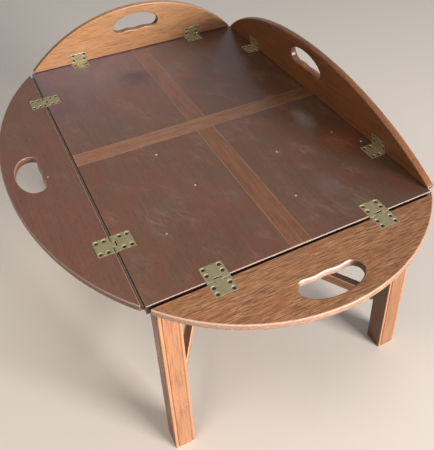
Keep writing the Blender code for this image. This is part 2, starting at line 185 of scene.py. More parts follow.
@dataclass(frozen=True)
class Mahogany:
    """Varnished mahogany: a red-brown ground, dark pore streaks along the grain, and a soft gloss.

    Broad figure shows as slow changes of tone, open pores as thin dark dashes, and age as redder patches.
    Handling wears the arrises paler, and the same pale tint paints highlights; a dark tint paints shade in
    joints and on faces turned from the light, and a top gets pale scuffs and nicks.
    The pores, really 0.2 mm wide, and the nicks are drawn coarser so that they show.
    """

    name: str
    ground: str
    light: str
    dark: str
    # The edge tint is the pale colour of worn arrises, and it also paints their highlights
    edge: str
    grain: tuple[float, float, float]
    figure_mm: Point = (380.0, 22.0)
    streak_mm: Point = (60.0, 2.4)
    pore_mm: Point = (15.0, 0.9)
    mottle_mm: float = 130.0
    patch_mm: float = 48.0
    figure_share: float = 0.35
    streak_share: float = 0.4
    pore_share: float = 0.25
    mottle_share: float = 0.12
    mottle: str = ""
    patch_share: float = 0.25
    worn_share: float = 0.45
    patch: str = "85503F"
    grime_and_shade: str = "24150E"
    grime_and_shade_share: float = 0.85
    sheen_tint: str = "8494BE"
    scuff_tint: str = "AE968C"
    nick_tint: str = "EAD6C8"
    gloss: Point = (0.26, 0.40)
    varnish_ior: float = 1.5
    pore_depth_mm: float = 0.15
    relief: float = 0.25
    is_top: bool = False
    scuffs: float = 0.2
    nicks: float = 0.9
    # Painted shade towards the right, painted sheen of reflected room light, and patches of tint that paint
    # reflections and a darker patch
    shaded: float = 0.4
    bloom: float = 0.0
    tint_patches: Sequence[TintPatch] = ()

    def _noise(self, tree: Tree, along: Socket, size_mm: Point, detail: float, low: float,
               high: float) -> Socket:
        """Noise drawn out along the grain, as a mask.

        Args:
            tree: The material's tree.
            along: Coordinates with the grain along X.
            size_mm: Length and width of a patch.
            detail: Octaves of finer noise.
            low: The noise value where the mask starts.
            high: The noise value where the mask is full.

        Returns:
            The mask, from 0 to 1.
        """
        length, width = (1 / (size * MM) for size in size_mm)
        scaled = add_node(tree, "ShaderNodeVectorMath", operation="MULTIPLY",
                          inputs={"Vector": along, "Vector_001": (length, width, width)})
        noise = add_node(tree, "ShaderNodeTexNoise", "Fac",
                         {"Vector": scaled, "Scale": 1.0, "Detail": detail, "Roughness": 0.55})
        return add_node(tree, "ShaderNodeMapRange", "Result",
                        {"Value": noise, "From Min": low, "From Max": high}, interpolation_type="SMOOTHSTEP")

    def _nicks(self, tree: Tree, place: Socket) -> Socket:
        """Small pale nicks in the varnish, a few to each stretch of the top.

        Args:
            tree: The material's tree.
            place: Object coordinates.

        Returns:
            A mask of the nicks.
        """
        cell_mm = 34.0
        size_mm = 4.2
        share_of_cells = 0.5
        drawn_out = 1.4
        scaled = add_node(tree, "ShaderNodeVectorMath", operation="MULTIPLY", inputs={
            "Vector": place, "Vector_001": (1 / (cell_mm * MM), 1 / (drawn_out * cell_mm * MM), 0)})
        near = add_node(tree, "ShaderNodeTexVoronoi", "Distance", {"Vector": scaled, "Scale": 1.0})
        cell = add_node(tree, "ShaderNodeTexVoronoi", "Color", {"Vector": scaled, "Scale": 1.0})
        inside = add_node(tree, "ShaderNodeMapRange", "Result", {
            "Value": near, "From Min": 0.55 * size_mm / cell_mm, "From Max": 0.35 * size_mm / cell_mm})
        chance = add_node(tree, "ShaderNodeSeparateXYZ", "X", {"Vector": cell})
        chosen = add_node(tree, "ShaderNodeMapRange", "Result", {
            "Value": chance, "From Min": share_of_cells, "From Max": 0.4 * share_of_cells})
        return add_node(tree, "ShaderNodeMath", inputs={"Value": inside, "Value_001": chosen},
                        operation="MULTIPLY")

    def _scuffs(self, tree: Tree, place: Socket) -> Socket:
        """Pale rubbed places where things were set down on the top.

        Args:
            tree: The material's tree.
            place: Object coordinates.

        Returns:
            A mask of the scuffs.
        """
        turn = 1.2
        rubbed_mm = (75.0, 45.0)
        scratch_mm = (14.0, 4.0)
        slid = add_node(tree, "ShaderNodeMapping", inputs={"Vector": place, "Rotation": (0.0, 0.0, turn)})
        rubbed = self._noise(tree, slid, rubbed_mm, 3.0, 0.46, 0.72)
        scratch = self._noise(tree, slid, scratch_mm, 3.0, 0.36, 0.70)
        return add_node(tree, "ShaderNodeMath", inputs={"Value": rubbed, "Value_001": scratch},
                        operation="MULTIPLY")

    def _right_shade_mask(self, tree: Tree, place: Socket) -> Socket:
        """Painted shade over the right side of the top, where the raised right leaf keeps light off.

        Args:
            tree: The material's tree.
            place: Object coordinates.

        Returns:
            A mask that grows to the right.
        """
        start, full = -0.05, 0.32
        right = add_node(tree, "ShaderNodeSeparateXYZ", "X", {"Vector": place})
        return add_node(tree, "ShaderNodeMapRange", "Result", {
            "Value": right, "From Min": start, "From Max": full}, interpolation_type="SMOOTHSTEP")

    def _sheen_mask(self, tree: Tree, place: Socket) -> Socket:
        """Painted sheen: cool room light reflected in the varnish, strongest towards the back of the top.

        Args:
            tree: The material's tree.
            place: Object coordinates.

        Returns:
            A mask of the painted sheen.
        """
        centre = (-0.10, 0.46, 0.414)
        spread = 0.46
        sheen_patch_mm = 90.0
        falloff = 1.6
        far = add_node(tree, "ShaderNodeVectorMath", "Value", {"Vector": place, "Vector_001": centre},
                       operation="DISTANCE")
        near = add_node(tree, "ShaderNodeMapRange", "Result",
                        {"Value": far, "From Min": spread, "From Max": 0.0})
        near = add_node(tree, "ShaderNodeMath", inputs={"Value": near, "Value_001": falloff},
                        operation="POWER")
        sheen_patchiness = add_node(tree, "ShaderNodeTexNoise", "Fac",
                         {"Vector": place, "Scale": 1 / (sheen_patch_mm * MM), "Detail": 3.0})
        sheen_patchiness = add_node(tree, "ShaderNodeMapRange", "Result",
                         {"Value": sheen_patchiness, "From Min": 0.3, "From Max": 0.6, "To Min": 0.6})
        return add_node(tree, "ShaderNodeMath", inputs={"Value": near, "Value_001": sheen_patchiness},
                        operation="MULTIPLY")

    def material(self) -> Material:
        """Build the material.

        Returns:
            The finished material.
        """
        material, tree = new_material(self.name)
        place = add_node(tree, "ShaderNodeTexCoord", "Object")
        along = add_node(tree, "ShaderNodeMapping", inputs={"Vector": place, "Rotation": self.grain})
        streak = self._noise(tree, along, self.streak_mm, 2.5, 0.46, 0.68)
        shine = self._noise(tree, along, self.streak_mm, 2.5, 0.48, 0.30)
        pore = self._noise(tree, along, self.pore_mm, 1.0, 0.56, 0.70)
        figure = self._noise(tree, along, self.figure_mm, 3.0, 0.35, 0.65)
        mottle = self._noise(tree, along, (self.mottle_mm, self.mottle_mm), 4.0, 0.35, 0.70)
        patch = self._noise(tree, along, (1.6 * self.patch_mm, self.patch_mm), 4.0, 0.42, 0.62)
        layers = [(figure, self.figure_share, self.light), (shine, self.streak_share, self.light),
                  (streak, self.streak_share, self.dark), (pore, self.pore_share, self.dark),
                  (mottle, self.mottle_share, self.mottle or self.dark),
                  (patch, self.patch_share, self.patch)]
        # Painted sheen of room light reflected in the varnish, then patches of tint
        if self.bloom:
            layers.append((self._sheen_mask(tree, place), self.bloom, self.sheen_tint))
        layers += [(tint_patch.mask(tree, place), tint_patch.share, tint_patch.tint) for tint_patch in self.tint_patches]
        # Painted shade towards the right of a top, then scuffs and nicks
        if self.is_top:
            layers += [(self._right_shade_mask(tree, place), self.shaded, self.grime_and_shade),
                       (self._scuffs(tree, place), self.scuffs, self.scuff_tint),
                       (self._nicks(tree, place), self.nicks, self.nick_tint)]
        # The pale tint marks worn arrises and paints highlights; below 0 the dark tint paints shade in joints
        # and on faces turned from the light
        worn = add_node(tree, "ShaderNodeAttribute", "Fac", attribute_name=WORN_AND_LIT)
        grime_and_shade_mask = add_node(tree, "ShaderNodeMapRange", "Result",
                        {"Value": worn, "From Min": 0.0, "From Max": -1.0})
        layers += [(worn, self.worn_share, self.edge), (grime_and_shade_mask, self.grime_and_shade_share, self.grime_and_shade)]
        colour = srgb(self.ground)
        for mask, share, tint in layers:
            factor = add_node(tree, "ShaderNodeMath", inputs={"Value": mask, "Value_001": share},
                              operation="MULTIPLY", use_clamp=True)
            colour = add_node(tree, "ShaderNodeMix", "Result_Color", data_type="RGBA", inputs={
                "Factor_Float": factor, "A_Color": colour, "B_Color": srgb(tint)})
        rough = add_node(tree, "ShaderNodeMapRange", "Result",
                         {"Value": mottle, "To Min": self.gloss[0], "To Max": self.gloss[1]})
        relief = add_node(tree, "ShaderNodeMath", inputs={"Value": streak, "Value_001": pore},
                          operation="ADD")
        bump = add_node(tree, "ShaderNodeBump", invert=True, inputs={
            "Height": relief, "Strength": self.relief, "Distance": self.pore_depth_mm * MM})
        shader = add_node(tree, "ShaderNodeBsdfPrincipled", inputs={
            "Base Color": colour, "Roughness": rough, "Normal": bump, "IOR": self.varnish_ior})
        add_node(tree, "ShaderNodeOutputMaterial", inputs={"Surface": shader})
        return material


@dataclass(frozen=True)
class AgedBrass:
    """Rolled brass gone olive with age: a dull, patchy film of tarnish, paler where hands rub the arrises."""

    name: str
    metal: str
    tarnish: str
    bright: str
    roughness: Point = (0.38, 0.55)
    metallic: Point = (0.6, 0.35)
    patch_mm: float = 11.0
    grit_mm: float = 0.8
    grit_depth_mm: float = 0.05
    relief: float = 0.2

    def material(self) -> Material:
        """Build the material.

        Returns:
            The finished material.
        """
        material, tree = new_material(self.name)
        place = add_node(tree, "ShaderNodeTexCoord", "Object")
        patch = add_node(tree, "ShaderNodeTexNoise", "Fac",
                         {"Vector": place, "Scale": 1 / (self.patch_mm * MM), "Detail": 4.0})
        patch = add_node(tree, "ShaderNodeMapRange", "Result", {
            "Value": patch, "From Min": 0.35, "From Max": 0.65}, interpolation_type="SMOOTHSTEP")
        grit = add_node(tree, "ShaderNodeTexNoise", "Fac",
                        {"Vector": place, "Scale": 1 / (self.grit_mm * MM), "Detail": 2.0})
        worn = add_node(tree, "ShaderNodeAttribute", "Fac", attribute_name=WORN_AND_LIT)
        colour = srgb(self.metal)
        for mask, tint in ((patch, self.tarnish), (worn, self.bright)):
            colour = add_node(tree, "ShaderNodeMix", "Result_Color", data_type="RGBA", inputs={
                "Factor_Float": mask, "A_Color": colour, "B_Color": srgb(tint)})
        rough, bare = (add_node(tree, "ShaderNodeMapRange", "Result", {
            "Value": patch, "To Min": clean, "To Max": dull})
            for clean, dull in (self.roughness, self.metallic))
        bump = add_node(tree, "ShaderNodeBump", inputs={
            "Height": grit, "Strength": self.relief, "Distance": self.grit_depth_mm * MM})
        shader = add_node(tree, "ShaderNodeBsdfPrincipled", inputs={
            "Base Color": colour, "Roughness": rough, "Normal": bump, "Metallic": bare})
        add_node(tree, "ShaderNodeOutputMaterial", inputs={"Surface": shader})
        return material


@dataclass(frozen=True)
class PaleFloor:
    """Matt pale studio floor, seen pale but passing little of its light back up to the table."""

    name: str = "pale_studio_floor"
    seen: str = "E0DCD6"
    lit: str = "8A8580"
    roughness: float = 0.8

    def material(self) -> Material:
        """Build the material.

        Returns:
            The finished material.
        """
        material, tree = new_material(self.name)
        ray = "ShaderNodeLightPath"
        seen = add_node(tree, "ShaderNodeMath", operation="MAXIMUM", inputs={
            "Value": add_node(tree, ray, "Is Camera Ray"), "Value_001": add_node(tree, ray, "Is Glossy Ray")})
        seen = add_node(tree, "ShaderNodeMath", operation="MAXIMUM", inputs={
            "Value": seen, "Value_001": add_node(tree, ray, "Is Transmission Ray")})
        colour = add_node(tree, "ShaderNodeMix", "Result_Color", {
            "Factor_Float": seen, "A_Color": srgb(self.lit), "B_Color": srgb(self.seen)}, data_type="RGBA")
        shader = add_node(tree, "ShaderNodeBsdfPrincipled", inputs={
            "Base Color": colour, "Roughness": self.roughness})
        add_node(tree, "ShaderNodeOutputMaterial", inputs={"Surface": shader})
        return material


# Meshes and pieces

def add_object(name: str, data: bpy.types.ID) -> bpy.types.Object:
    """Add an object to the scene.

    Args:
        name: The object's name.
        data: Its mesh, light or camera.

    Returns:
        The object.
    """
    added = bpy.data.objects.new(name, data)
    bpy.context.scene.collection.objects.link(added)
    return added


def arc(centre: Point, radii: Point, start: float, end: float, steps: int) -> list[Point]:
    """Points along an elliptical arc in straight steps, from its start angle to its end angle."""
    angles = [start + (end - start) * i / steps for i in range(steps + 1)]
    return [(centre[0] + radii[0] * math.cos(a), centre[1] + radii[1] * math.sin(a)) for a in angles]


def add_prism(bm: BMesh, outline: Sequence[Point],
              place: Callable[[Point, int], Sequence[float]]) -> None:
    """Add a closed outline swept between two ends.

    Args:
        bm: The mesh to add to.
        outline: The outline's points.
        place: Gives the 3-D place of a point at end 0 or 1.
    """
    rings = [[bm.verts.new(place(point, end)) for point in outline] for end in (0, 1)]
    for ring in rings:
        bm.faces.new(ring)
    for i in range(len(outline)):
        j = (i + 1) % len(outline)
        bm.faces.new([rings[0][i], rings[0][j], rings[1][j], rings[1][i]])


def add_box(bm: BMesh, low: Sequence[float], high: Sequence[float]) -> None:
    """Add a box between its lowest and its highest corner."""
    place = Matrix.Translation((Vector(high) + Vector(low)) / 2)
    bmesh.ops.create_cube(bm, size=1, matrix=place @ Matrix.Diagonal((*(Vector(high) - Vector(low)), 1)))


def add_cone(bm: BMesh, low: Sequence[float], high: Sequence[float], radii: Point,
             steps: int) -> None:
    """Add a round bar or cone.

    Args:
        bm: The mesh to add to.
        low: The middle of its first end.
        high: The middle of its second end.
        radii: The radius at each end.
        steps: Facets round it.
    """
    along = Vector(high) - Vector(low)
    turn = Vector((0, 0, 1)).rotation_difference(along).to_matrix().to_4x4()
    place = Matrix.Translation((Vector(low) + Vector(high)) / 2) @ turn
    bmesh.ops.create_cone(bm, cap_ends=True, segments=steps, radius1=radii[0], radius2=radii[1],
                          depth=along.length, matrix=place)


def mesh_of(bm: BMesh, name: str) -> Mesh:
    """Turn a bmesh into a mesh with its faces pointing out, and free it.

    Args:
        bm: The bmesh.
        name: The mesh's name.

    Returns:
        The mesh.
    """
    bmesh.ops.recalc_face_normals(bm, faces=bm.faces)
    mesh = bpy.data.meshes.new(name)
    bm.to_mesh(mesh)
    bm.free()
    return mesh


def cut_away(mesh: Mesh, cutters: Iterable[Mesh]) -> Mesh:
    """Cut meshes out of a mesh.

    Args:
        mesh: The mesh to cut; it is removed.
        cutters: What to cut away; they are removed too.

    Returns:
        The cut mesh.
    """
    blank = add_object("blank", mesh)
    spent = [blank]
    for cutter in cutters:
        tool = add_object("cutter", cutter)
        modifier = blank.modifiers.new("cut", "BOOLEAN")
        modifier.operation = "DIFFERENCE"
        modifier.solver = "EXACT"
        modifier.object = tool
        spent.append(tool)
    graph = bpy.context.evaluated_depsgraph_get()
    result = bpy.data.meshes.new_from_object(blank.evaluated_get(graph))
    for item in spent:
        old = item.data
        bpy.data.objects.remove(item)
        bpy.data.meshes.remove(old)
    return result


def shade(bm: BMesh, wear_and_light: Callable[[Face], float], flats: Callable[[Face], bool]) -> None:
    """Shade a mesh smooth round its curves and flat on its flats, and note where it is worn and where light
    and shade are painted.

    Args:
        bm: The mesh.
        wear_and_light: Gives how pale a face is painted, from -1 for painted shade to 1 for worn wood and
            painted highlight.
        flats: Says whether a face is a flat.
    """
    for edge in bm.edges:
        is_crisp = any(flats(face) for face in edge.link_faces) or edge.calc_face_angle(math.pi) > SHARP_TURN
        edge.smooth = not is_crisp
    values = [wear_and_light(face) for face in bm.faces]
    layer = bm.faces.layers.float.new(WORN_AND_LIT)
    for face, value in zip(bm.faces, values):
        face.smooth = True
        face[layer] = value


def add_piece(name: str, mesh: Mesh, material: Material, body: str,
              nodes: Sequence[str] = ()) -> bpy.types.Object:
    """Put a finished mesh on the table.

    Args:
        name: The piece's name.
        mesh: The mesh, in place in the row frame.
        material: Its finish.
        body: The body that it rides on.
        nodes: The CAD nodes that it stands for.

    Returns:
        The piece.
    """
    piece = add_object(name, mesh)
    mesh.materials.clear()
    mesh.materials.append(material)
    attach(piece, body)
    if nodes:
        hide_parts(*nodes)
    LOG.info("%s rides on %s, %d faces", name, body, len(mesh.polygons))
    return piece


def dress_node(node: str, material: Material) -> None:
    """Give a CAD node that stays in sight its finish.

    Args:
        node: The node's name.
        material: Its finish.
    """
    frame["nodes"][node].data.materials.clear()
    frame["nodes"][node].data.materials.append(material)
    LOG.info("%s keeps its CAD shape", node)


def rubbed_arris(normal: Vector, is_round: bool) -> float:
    """Plain worn paleness, on the rounded arrises only."""
    return float(is_round)


def joined(mesh: Mesh) -> BMesh:
    """Open a mesh with its doubled points and its split flats joined.

    Args:
        mesh: The mesh.

    Returns:
        The mesh, ready to edit.
    """
    bm = bmesh.new()
    bm.from_mesh(mesh)
    bmesh.ops.remove_doubles(bm, verts=bm.verts, dist=TOUCH)
    bmesh.ops.dissolve_limit(bm, angle_limit=FLAT_TURN, verts=bm.verts, edges=bm.edges)
    return bm


def eased(bm: BMesh, name: str, radius: float, steps: int, picks: Picks,
          wear_and_light: WearAndLight = rubbed_arris) -> Mesh:
    """Round some of a mesh's arrises.

    Args:
        bm: The mesh to edit; it is freed.
        name: The finished mesh's name.
        radius: The arrises' radius.
        steps: Steps round an arris.
        picks: Says which edges are rounded.
        wear_and_light: Gives how pale a face is painted, for worn wood, painted highlight and painted shade,
            from the way it looks and whether it is on a rounded arris.

    Returns:
        The finished mesh.
    """
    edges = [edge for edge in bm.edges if edge.is_manifold and picks(edge)]
    made = bmesh.ops.bevel(bm, geom=edges, offset=radius, segments=steps, profile=0.5, affect="EDGES",
                           clamp_overlap=True)
    bm.normal_update()
    rounded = set(made["faces"])
    shade(bm, lambda face: wear_and_light(face.normal, face in rounded), lambda face: face not in rounded)
    return mesh_of(bm, name)


def eased_copy(node: str, radius: float, steps: int, picks: Picks, wear_and_light: WearAndLight = rubbed_arris) -> Mesh:
    """Copy a CAD node with some of its arrises rounded."""
    return eased(joined(frame["nodes"][node].data), node + FINISHED, radius, steps, picks, wear_and_light)


def is_arris(edge: Edge) -> bool:
    """True for an edge that stands out."""
    return edge.calc_face_angle_signed(0.0) > SHARP_TURN


# Leaves and hinges

class Side(Enum):
    """The tray's sides, each with a leaf."""

    LEFT = "left"
    FRONT = "front"
    BACK = "back"
    RIGHT = "right"


class Plate(Enum):
    """A hinge's two plates, each with the way that it lies from the pin."""

    TRAY = -1
    LEAF = 1


@dataclass(frozen=True)
class Section:
    """A leaf across its hinge line: its reach, its edge, its lip's edge, its underside and its top."""

    reach: float
    gap: float
    lip_edge: float
    bottom: float
    top: float


@dataclass(frozen=True)
class HingeLine:
    """The line that a leaf turns on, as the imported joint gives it."""

    side: Side
    middle: Vector
    yaw: float
    tilt: float

    @classmethod
    def of(cls, side: Side) -> "HingeLine":
        """Read a side's hinge line from the frame.

        Args:
            side: Which side of the tray.

        Returns:
            The line.
        """
        joint = next(j for j in frame["joints"] if j["child"] == "leaf_" + side.value)
        axis = joint["axis"]
        raised = -math.radians(joint["range_deg"][0])
        return cls(side, Vector(joint["pos_m"]), math.atan2(axis[1], axis[0]), raised)

    @property
    def leaf(self) -> str:
        """The name of the leaf's CAD node, which is its body's too."""
        return "leaf_" + self.side.value

    def on_tray(self) -> Matrix:
        """The place of what stays with the tray."""
        return Matrix.Translation(self.middle) @ Matrix.Rotation(self.yaw, 4, "Z")

    def on_leaf(self) -> Matrix:
        """The place of what swings with the leaf."""
        return self.on_tray() @ Matrix.Rotation(self.tilt, 4, "X")

    def section(self, knuckle_radius: float) -> Section:
        """Measure the CAD leaf across its hinge line.

        Args:
            knuckle_radius: The radius of the hinges' knuckles.

        Returns:
            The leaf's section.
        """
        back = self.on_leaf().inverted()
        points = [back @ vert.co for vert in frame["nodes"][self.leaf].data.vertices]
        gap = min(point.y for point in points if point.z > -knuckle_radius)
        return Section(max(p.y for p in points), gap, min(p.y for p in points),
                       min(p.z for p in points), max(p.z for p in points))

    def hinges(self) -> dict[str, float]:
        """Find the hinges on the line.

        Returns:
            Each hinge's name, with how far along the line it sits.
        """
        back = self.on_tray().inverted()
        found = {}
        for node in frame["nodes"]:
            if node.startswith("hinge_" + self.side.value) and node.endswith("_pin"):
                low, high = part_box(node)
                found[node.removesuffix("_pin")] = (back @ ((low + high) / 2)).x
        return found


@dataclass(frozen=True)
class Hinge:
    """A flush brass hinge: a plate in the tray, a plate in the leaf, and knuckles level with both."""

    width: float = 39.0 * MM
    reach: float = 32.5 * MM
    thickness: float = 2.0 * MM
    knuckle_radius: float = 3.4 * MM
    knuckle_length: float = 13.0 * MM
    knuckle_gap: float = 0.3 * MM
    pin_radius: float = 1.3 * MM
    arris: float = 0.4 * MM
    corner: float = 1.8 * MM
    screw_to_end: float = 6.5 * MM
    screw_to_side: float = 6.1 * MM
    screw_pitch: float = 13.0 * MM
    screw_hole: float = 1.6 * MM
    sink_radius: float = 3.9 * MM
    sink_depth: float = 1.8 * MM
    screw_recess: float = 0.9 * MM
    fit: float = 0.3 * MM
    round_steps: int = 28

    def screws(self, plate: Plate) -> list[Point]:
        """Places of a plate's screws.

        Args:
            plate: Which plate.

        Returns:
            The screws' x and y.
        """
        column = self.width / 2 - self.screw_to_side
        rows = [self.reach - self.screw_to_end - i * self.screw_pitch for i in (0, 1)]
        return [(x, plate.value * row) for x in (-column, column) for row in rows]

    def _blank(self, plate: Plate) -> Mesh:
        """Make a plate with one long knuckle and no holes.

        Args:
            plate: Which plate.

        Returns:
            The blank.
        """
        top = self.knuckle_radius
        under = top - self.thickness
        meet = math.acos(under / top)
        barrel = arc((0, 0), (plate.value * top, top), math.pi / 2, 2.5 * math.pi - meet, self.round_steps)
        end = plate.value * self.reach
        outline = [(end, under), (end, top)] + barrel
        bm = bmesh.new()
        add_prism(bm, outline, lambda point, side: ((side - 0.5) * self.width, *point))
        return mesh_of(bm, "plate")

    def _rooms(self, plate: Plate, leaf_gap: float) -> Mesh:
        """The room that the other plate's knuckles need.

        Args:
            plate: Which plate.
            leaf_gap: How far from the pin a plate clears the other one's knuckles.

        Returns:
            What to cut away.
        """
        room = self.knuckle_length / 2 - plate.value * self.knuckle_gap / 2
        is_middle = plate is Plate.TRAY
        spans = [(-room, room)] if is_middle else [(-self.width, -room), (room, self.width)]
        near, far = sorted((plate.value * leaf_gap, -plate.value * self.reach))
        bm = bmesh.new()
        for start, end in spans:
            add_box(bm, (start, near, -self.reach), (end, far, self.reach))
        return mesh_of(bm, "knuckle_rooms")

    def _holes(self, plate: Plate) -> tuple[Mesh, Mesh]:
        """The pin's bore and the countersunk screw holes.

        Args:
            plate: Which plate.

        Returns:
            What to cut away for the pin and for the screws.
        """
        bore = bmesh.new()
        add_cone(bore, (-self.width, 0, 0), (self.width, 0, 0), (self.pin_radius,) * 2, self.round_steps)
        top = self.knuckle_radius
        slope = (self.sink_radius - self.screw_hole) / self.sink_depth
        radii = (max(self.screw_hole - slope * self.sink_depth, self.arris),
                 self.sink_radius + slope * self.sink_depth)
        sinks = bmesh.new()
        for x, y in self.screws(plate):
            add_cone(sinks, (x, y, top - 2 * self.sink_depth), (x, y, top + self.sink_depth), radii,
                     self.round_steps)
        return mesh_of(bore, "pin_bore"), mesh_of(sinks, "screw_sinks")

    def _at_corner(self, edge: Edge) -> bool:
        """True for an upright edge at a corner of the plate's far end."""
        return all(abs(abs(vert.co.x) - self.width / 2) + abs(abs(vert.co.y) - self.reach) < TOUCH
                   for vert in edge.verts)

    def build(self, plate: Plate, leaf_gap: float) -> Mesh:
        """Make a plate with its knuckles.

        Args:
            plate: Which plate.
            leaf_gap: How far from the pin a plate clears the other one's knuckles.

        Returns:
            The plate's mesh.
        """
        bm = joined(cut_away(self._blank(plate), (self._rooms(plate, leaf_gap), *self._holes(plate))))
        corners = [edge for edge in bm.edges if self._at_corner(edge)]
        bmesh.ops.bevel(bm, geom=corners, offset=self.corner, segments=5, profile=0.5, affect="EDGES")
        bm.normal_update()
        return eased(bm, "plate", self.arris, 2, is_arris)


@dataclass(frozen=True)
class Handhold:
    """A hand-sized hole: a curved outer edge, round ends and waves for the fingers along its inner edge."""

    length: float = 113.5 * MM
    depth: float = 46.0 * MM
    margin: float = 21.5 * MM
    corner: Point = (15.0 * MM, 16.0 * MM)
    wave: float = 2.0 * MM
    waves: int = 2
    arc_steps: int = 40
    corner_steps: int = 10
    wave_steps: int = 40

    def outline(self, reach: float, grow: float) -> list[Point]:
        """Draw the hole.

        Args:
            reach: How far the leaf reaches from its hinge line.
            grow: How much larger than its walls the hole is drawn.

        Returns:
            The outline's points.
        """
        half = self.length / 2
        outer = reach - self.margin
        inner = outer - self.depth
        waist = inner + self.corner[1]
        flat = half - self.corner[0]
        points = arc((0, waist), (half, outer - waist), 0, math.pi, self.arc_steps)
        points += arc((-flat, waist), self.corner, math.pi, 1.5 * math.pi, self.corner_steps)[1:]
        for i in range(1, self.wave_steps):
            x = flat * (2 * i / self.wave_steps - 1)
            phase = self.waves * math.pi * (1 + x / flat)
            points.append((x, inner + self.wave * (1 - math.cos(phase)) / 2))
        points += arc((flat, waist), self.corner, 1.5 * math.pi, 2 * math.pi, self.corner_steps)[:-1]
        grown = []
        for i, point in enumerate(points):
            along = (Vector(points[(i + 1) % len(points)]) - Vector(points[i - 1])).normalized()
            grown.append((point[0] + grow * along.y, point[1] - grow * along.x))
        return grown


@dataclass(frozen=True)
class Leaf:
    """One leaf: a board with a curved rounded edge and a handhold, let in for its two hinges."""

    line: HingeLine
    finish: Mahogany
    half_chord: float
    middle: float
    handhold: Handhold
    hinge: Hinge
    # Paleness of the upper arris, the walls, the handhold's grip and the joint, for worn wood and painted
    # highlight; below 0 each paints shade
    crest_wear: float = 0.9
    wall_wear: float = 0.15
    grip_wear: float = 0.7
    seam_wear: float = -1.0
    # Painted highlight on the handhold's upper arris away from the grip, then painted shade on the handhold's
    # ends
    far_crest: float = 0.1
    hold_ends: float = -0.95
    edge_forward: float = 0.0
    # Painted light along the leaf, from its left end to its right
    end_wear: Point = (1.0, 1.0)
    edge_rounds: Point = (8.0 * MM, 2.4 * MM)
    hold_rounds: Point = (6.0 * MM, 2.4 * MM)
    hinge_arrises: Point = (0.8 * MM, 0.9 * MM)
    tip: float = 2.0 * MM
    least_tip: float = 0.8 * MM
    round_steps: int = 7
    tip_steps: int = 6
    arc_steps: int = 110

    def _plan(self, section: Section, inset: float, edge_inset: float, has_lip: bool) -> list[Point]:
        """Draw the leaf's plan at one level.

        Args:
            section: The leaf's section.
            inset: How far the curved edge is drawn in.
            edge_inset: How far the hinged edge is drawn in.
            has_lip: Whether the level has the lip that meets the tray.

        Returns:
            The outline's points.
        """
        rise = section.reach + self.middle
        run = self.half_chord / math.sqrt(1 - (self.middle / rise) ** 2)
        radii = (run - inset, rise - inset)
        tip = max(self.tip - inset, self.least_tip)
        tip_y = section.gap - self.edge_forward + edge_inset + tip
        turn = math.asin((tip_y + self.middle) / (radii[1] - tip))
        tip_x = (radii[0] - tip) * math.cos(turn)
        meet = math.atan2(math.sin(turn) / radii[1], math.cos(turn) / radii[0])
        right = arc((tip_x, tip_y), (tip, tip), -math.pi / 2, meet, self.tip_steps)
        crown = arc((0, -self.middle), radii, turn, math.pi - turn, self.arc_steps)[1:-1]
        left = arc((-tip_x, tip_y), (tip, tip), math.pi - meet, 1.5 * math.pi, self.tip_steps)
        if has_lip:
            right[0] = (tip_x, section.lip_edge + edge_inset)
            left[-1] = (-tip_x, section.lip_edge + edge_inset)
        return right + crown + left

    def _levels(self, section: Section, rounds: Point) -> tuple[list[Point], list[Point]]:
        """Inset and height, bottom to top, of an edge rounded over below and above.

        Args:
            section: The leaf's section.
            rounds: The lower and the upper rounding.

        Returns:
            The levels of the lower and of the upper rounding.
        """
        under, over = (arc((r, r), (r, r), -math.pi / 2, -math.pi, self.round_steps) for r in rounds)
        return ([(inset, section.bottom + rise) for inset, rise in under],
                [(inset, section.top - rise) for inset, rise in reversed(over)])

    def _wall(self, bm: BMesh, rings: Sequence[Sequence[tuple]]) -> list[list[Edge]]:
        """Join stacked rings of points; a point that two rings share is one corner.

        Args:
            bm: The mesh to add to.
            rings: The rings, bottom to top.

        Returns:
            The edges of the lowest and of the highest ring.
        """
        rows = []
        shared = {}
        for ring in rings:
            rows.append([shared.get(point) or bm.verts.new(point) for point in ring])
            shared = dict(zip(ring, rows[-1]))
        count = len(rows[0])
        for below, above in zip(rows, rows[1:]):
            for i in range(count):
                j = (i + 1) % count
                corners = list(dict.fromkeys([below[i], below[j], above[j], above[i]]))
                if len(corners) > 2:
                    bm.faces.new(corners)
        return [[bm.edges.get((row[i], row[(i + 1) % count])) for i in range(count)]
                for row in (rows[0], rows[-1])]

    def _pocket(self, x: float, top: float) -> Mesh:
        """The room that a hinge plate needs in the leaf.

        Args:
            x: The hinge's place along the leaf.
            top: The leaf's top.

        Returns:
            What to cut away.
        """
        half = self.hinge.width / 2 + self.hinge.fit
        bm = bmesh.new()
        add_box(bm, (x - half, -self.hinge.reach, top - self.hinge.thickness - self.hinge.fit),
                (x + half, self.hinge.reach + self.hinge.fit, top + self.hinge.reach))
        return mesh_of(bm, "hinge_pocket")

    def _worn(self, face: Face, reach: float) -> float:
        """How pale or dark a face of the leaf is painted: the upper arris most, as worn wood and painted
        highlight, then the handhold's grip, and flats not; painted light also changes along the leaf.

        Args:
            face: The face.
            reach: How far the leaf reaches from its hinge line.

        Returns:
            How pale it is painted, up to 1, or -1 for painted shade on the edge along the hinges.
        """
        to_tray, up, grip_falloff = -0.2, 0.1, 6
        middle = face.calc_center_median()
        normal = face.normal
        # In the joint, the lip's top and the upper faces towards the tray take the leaf's painted joint tone,
        # the other faces towards the tray painted shade
        if abs(normal.z) > SQUARE:
            return self.seam_wear if middle.z < 0 < normal.z else 0.0
        if normal.y < to_tray and middle.y < self.hinge.reach / 3:
            return self.seam_wear if normal.z > up else -1.0
        level = math.sqrt(1 - normal.z ** 2)
        along = (middle.x / self.half_chord + 1) / 2
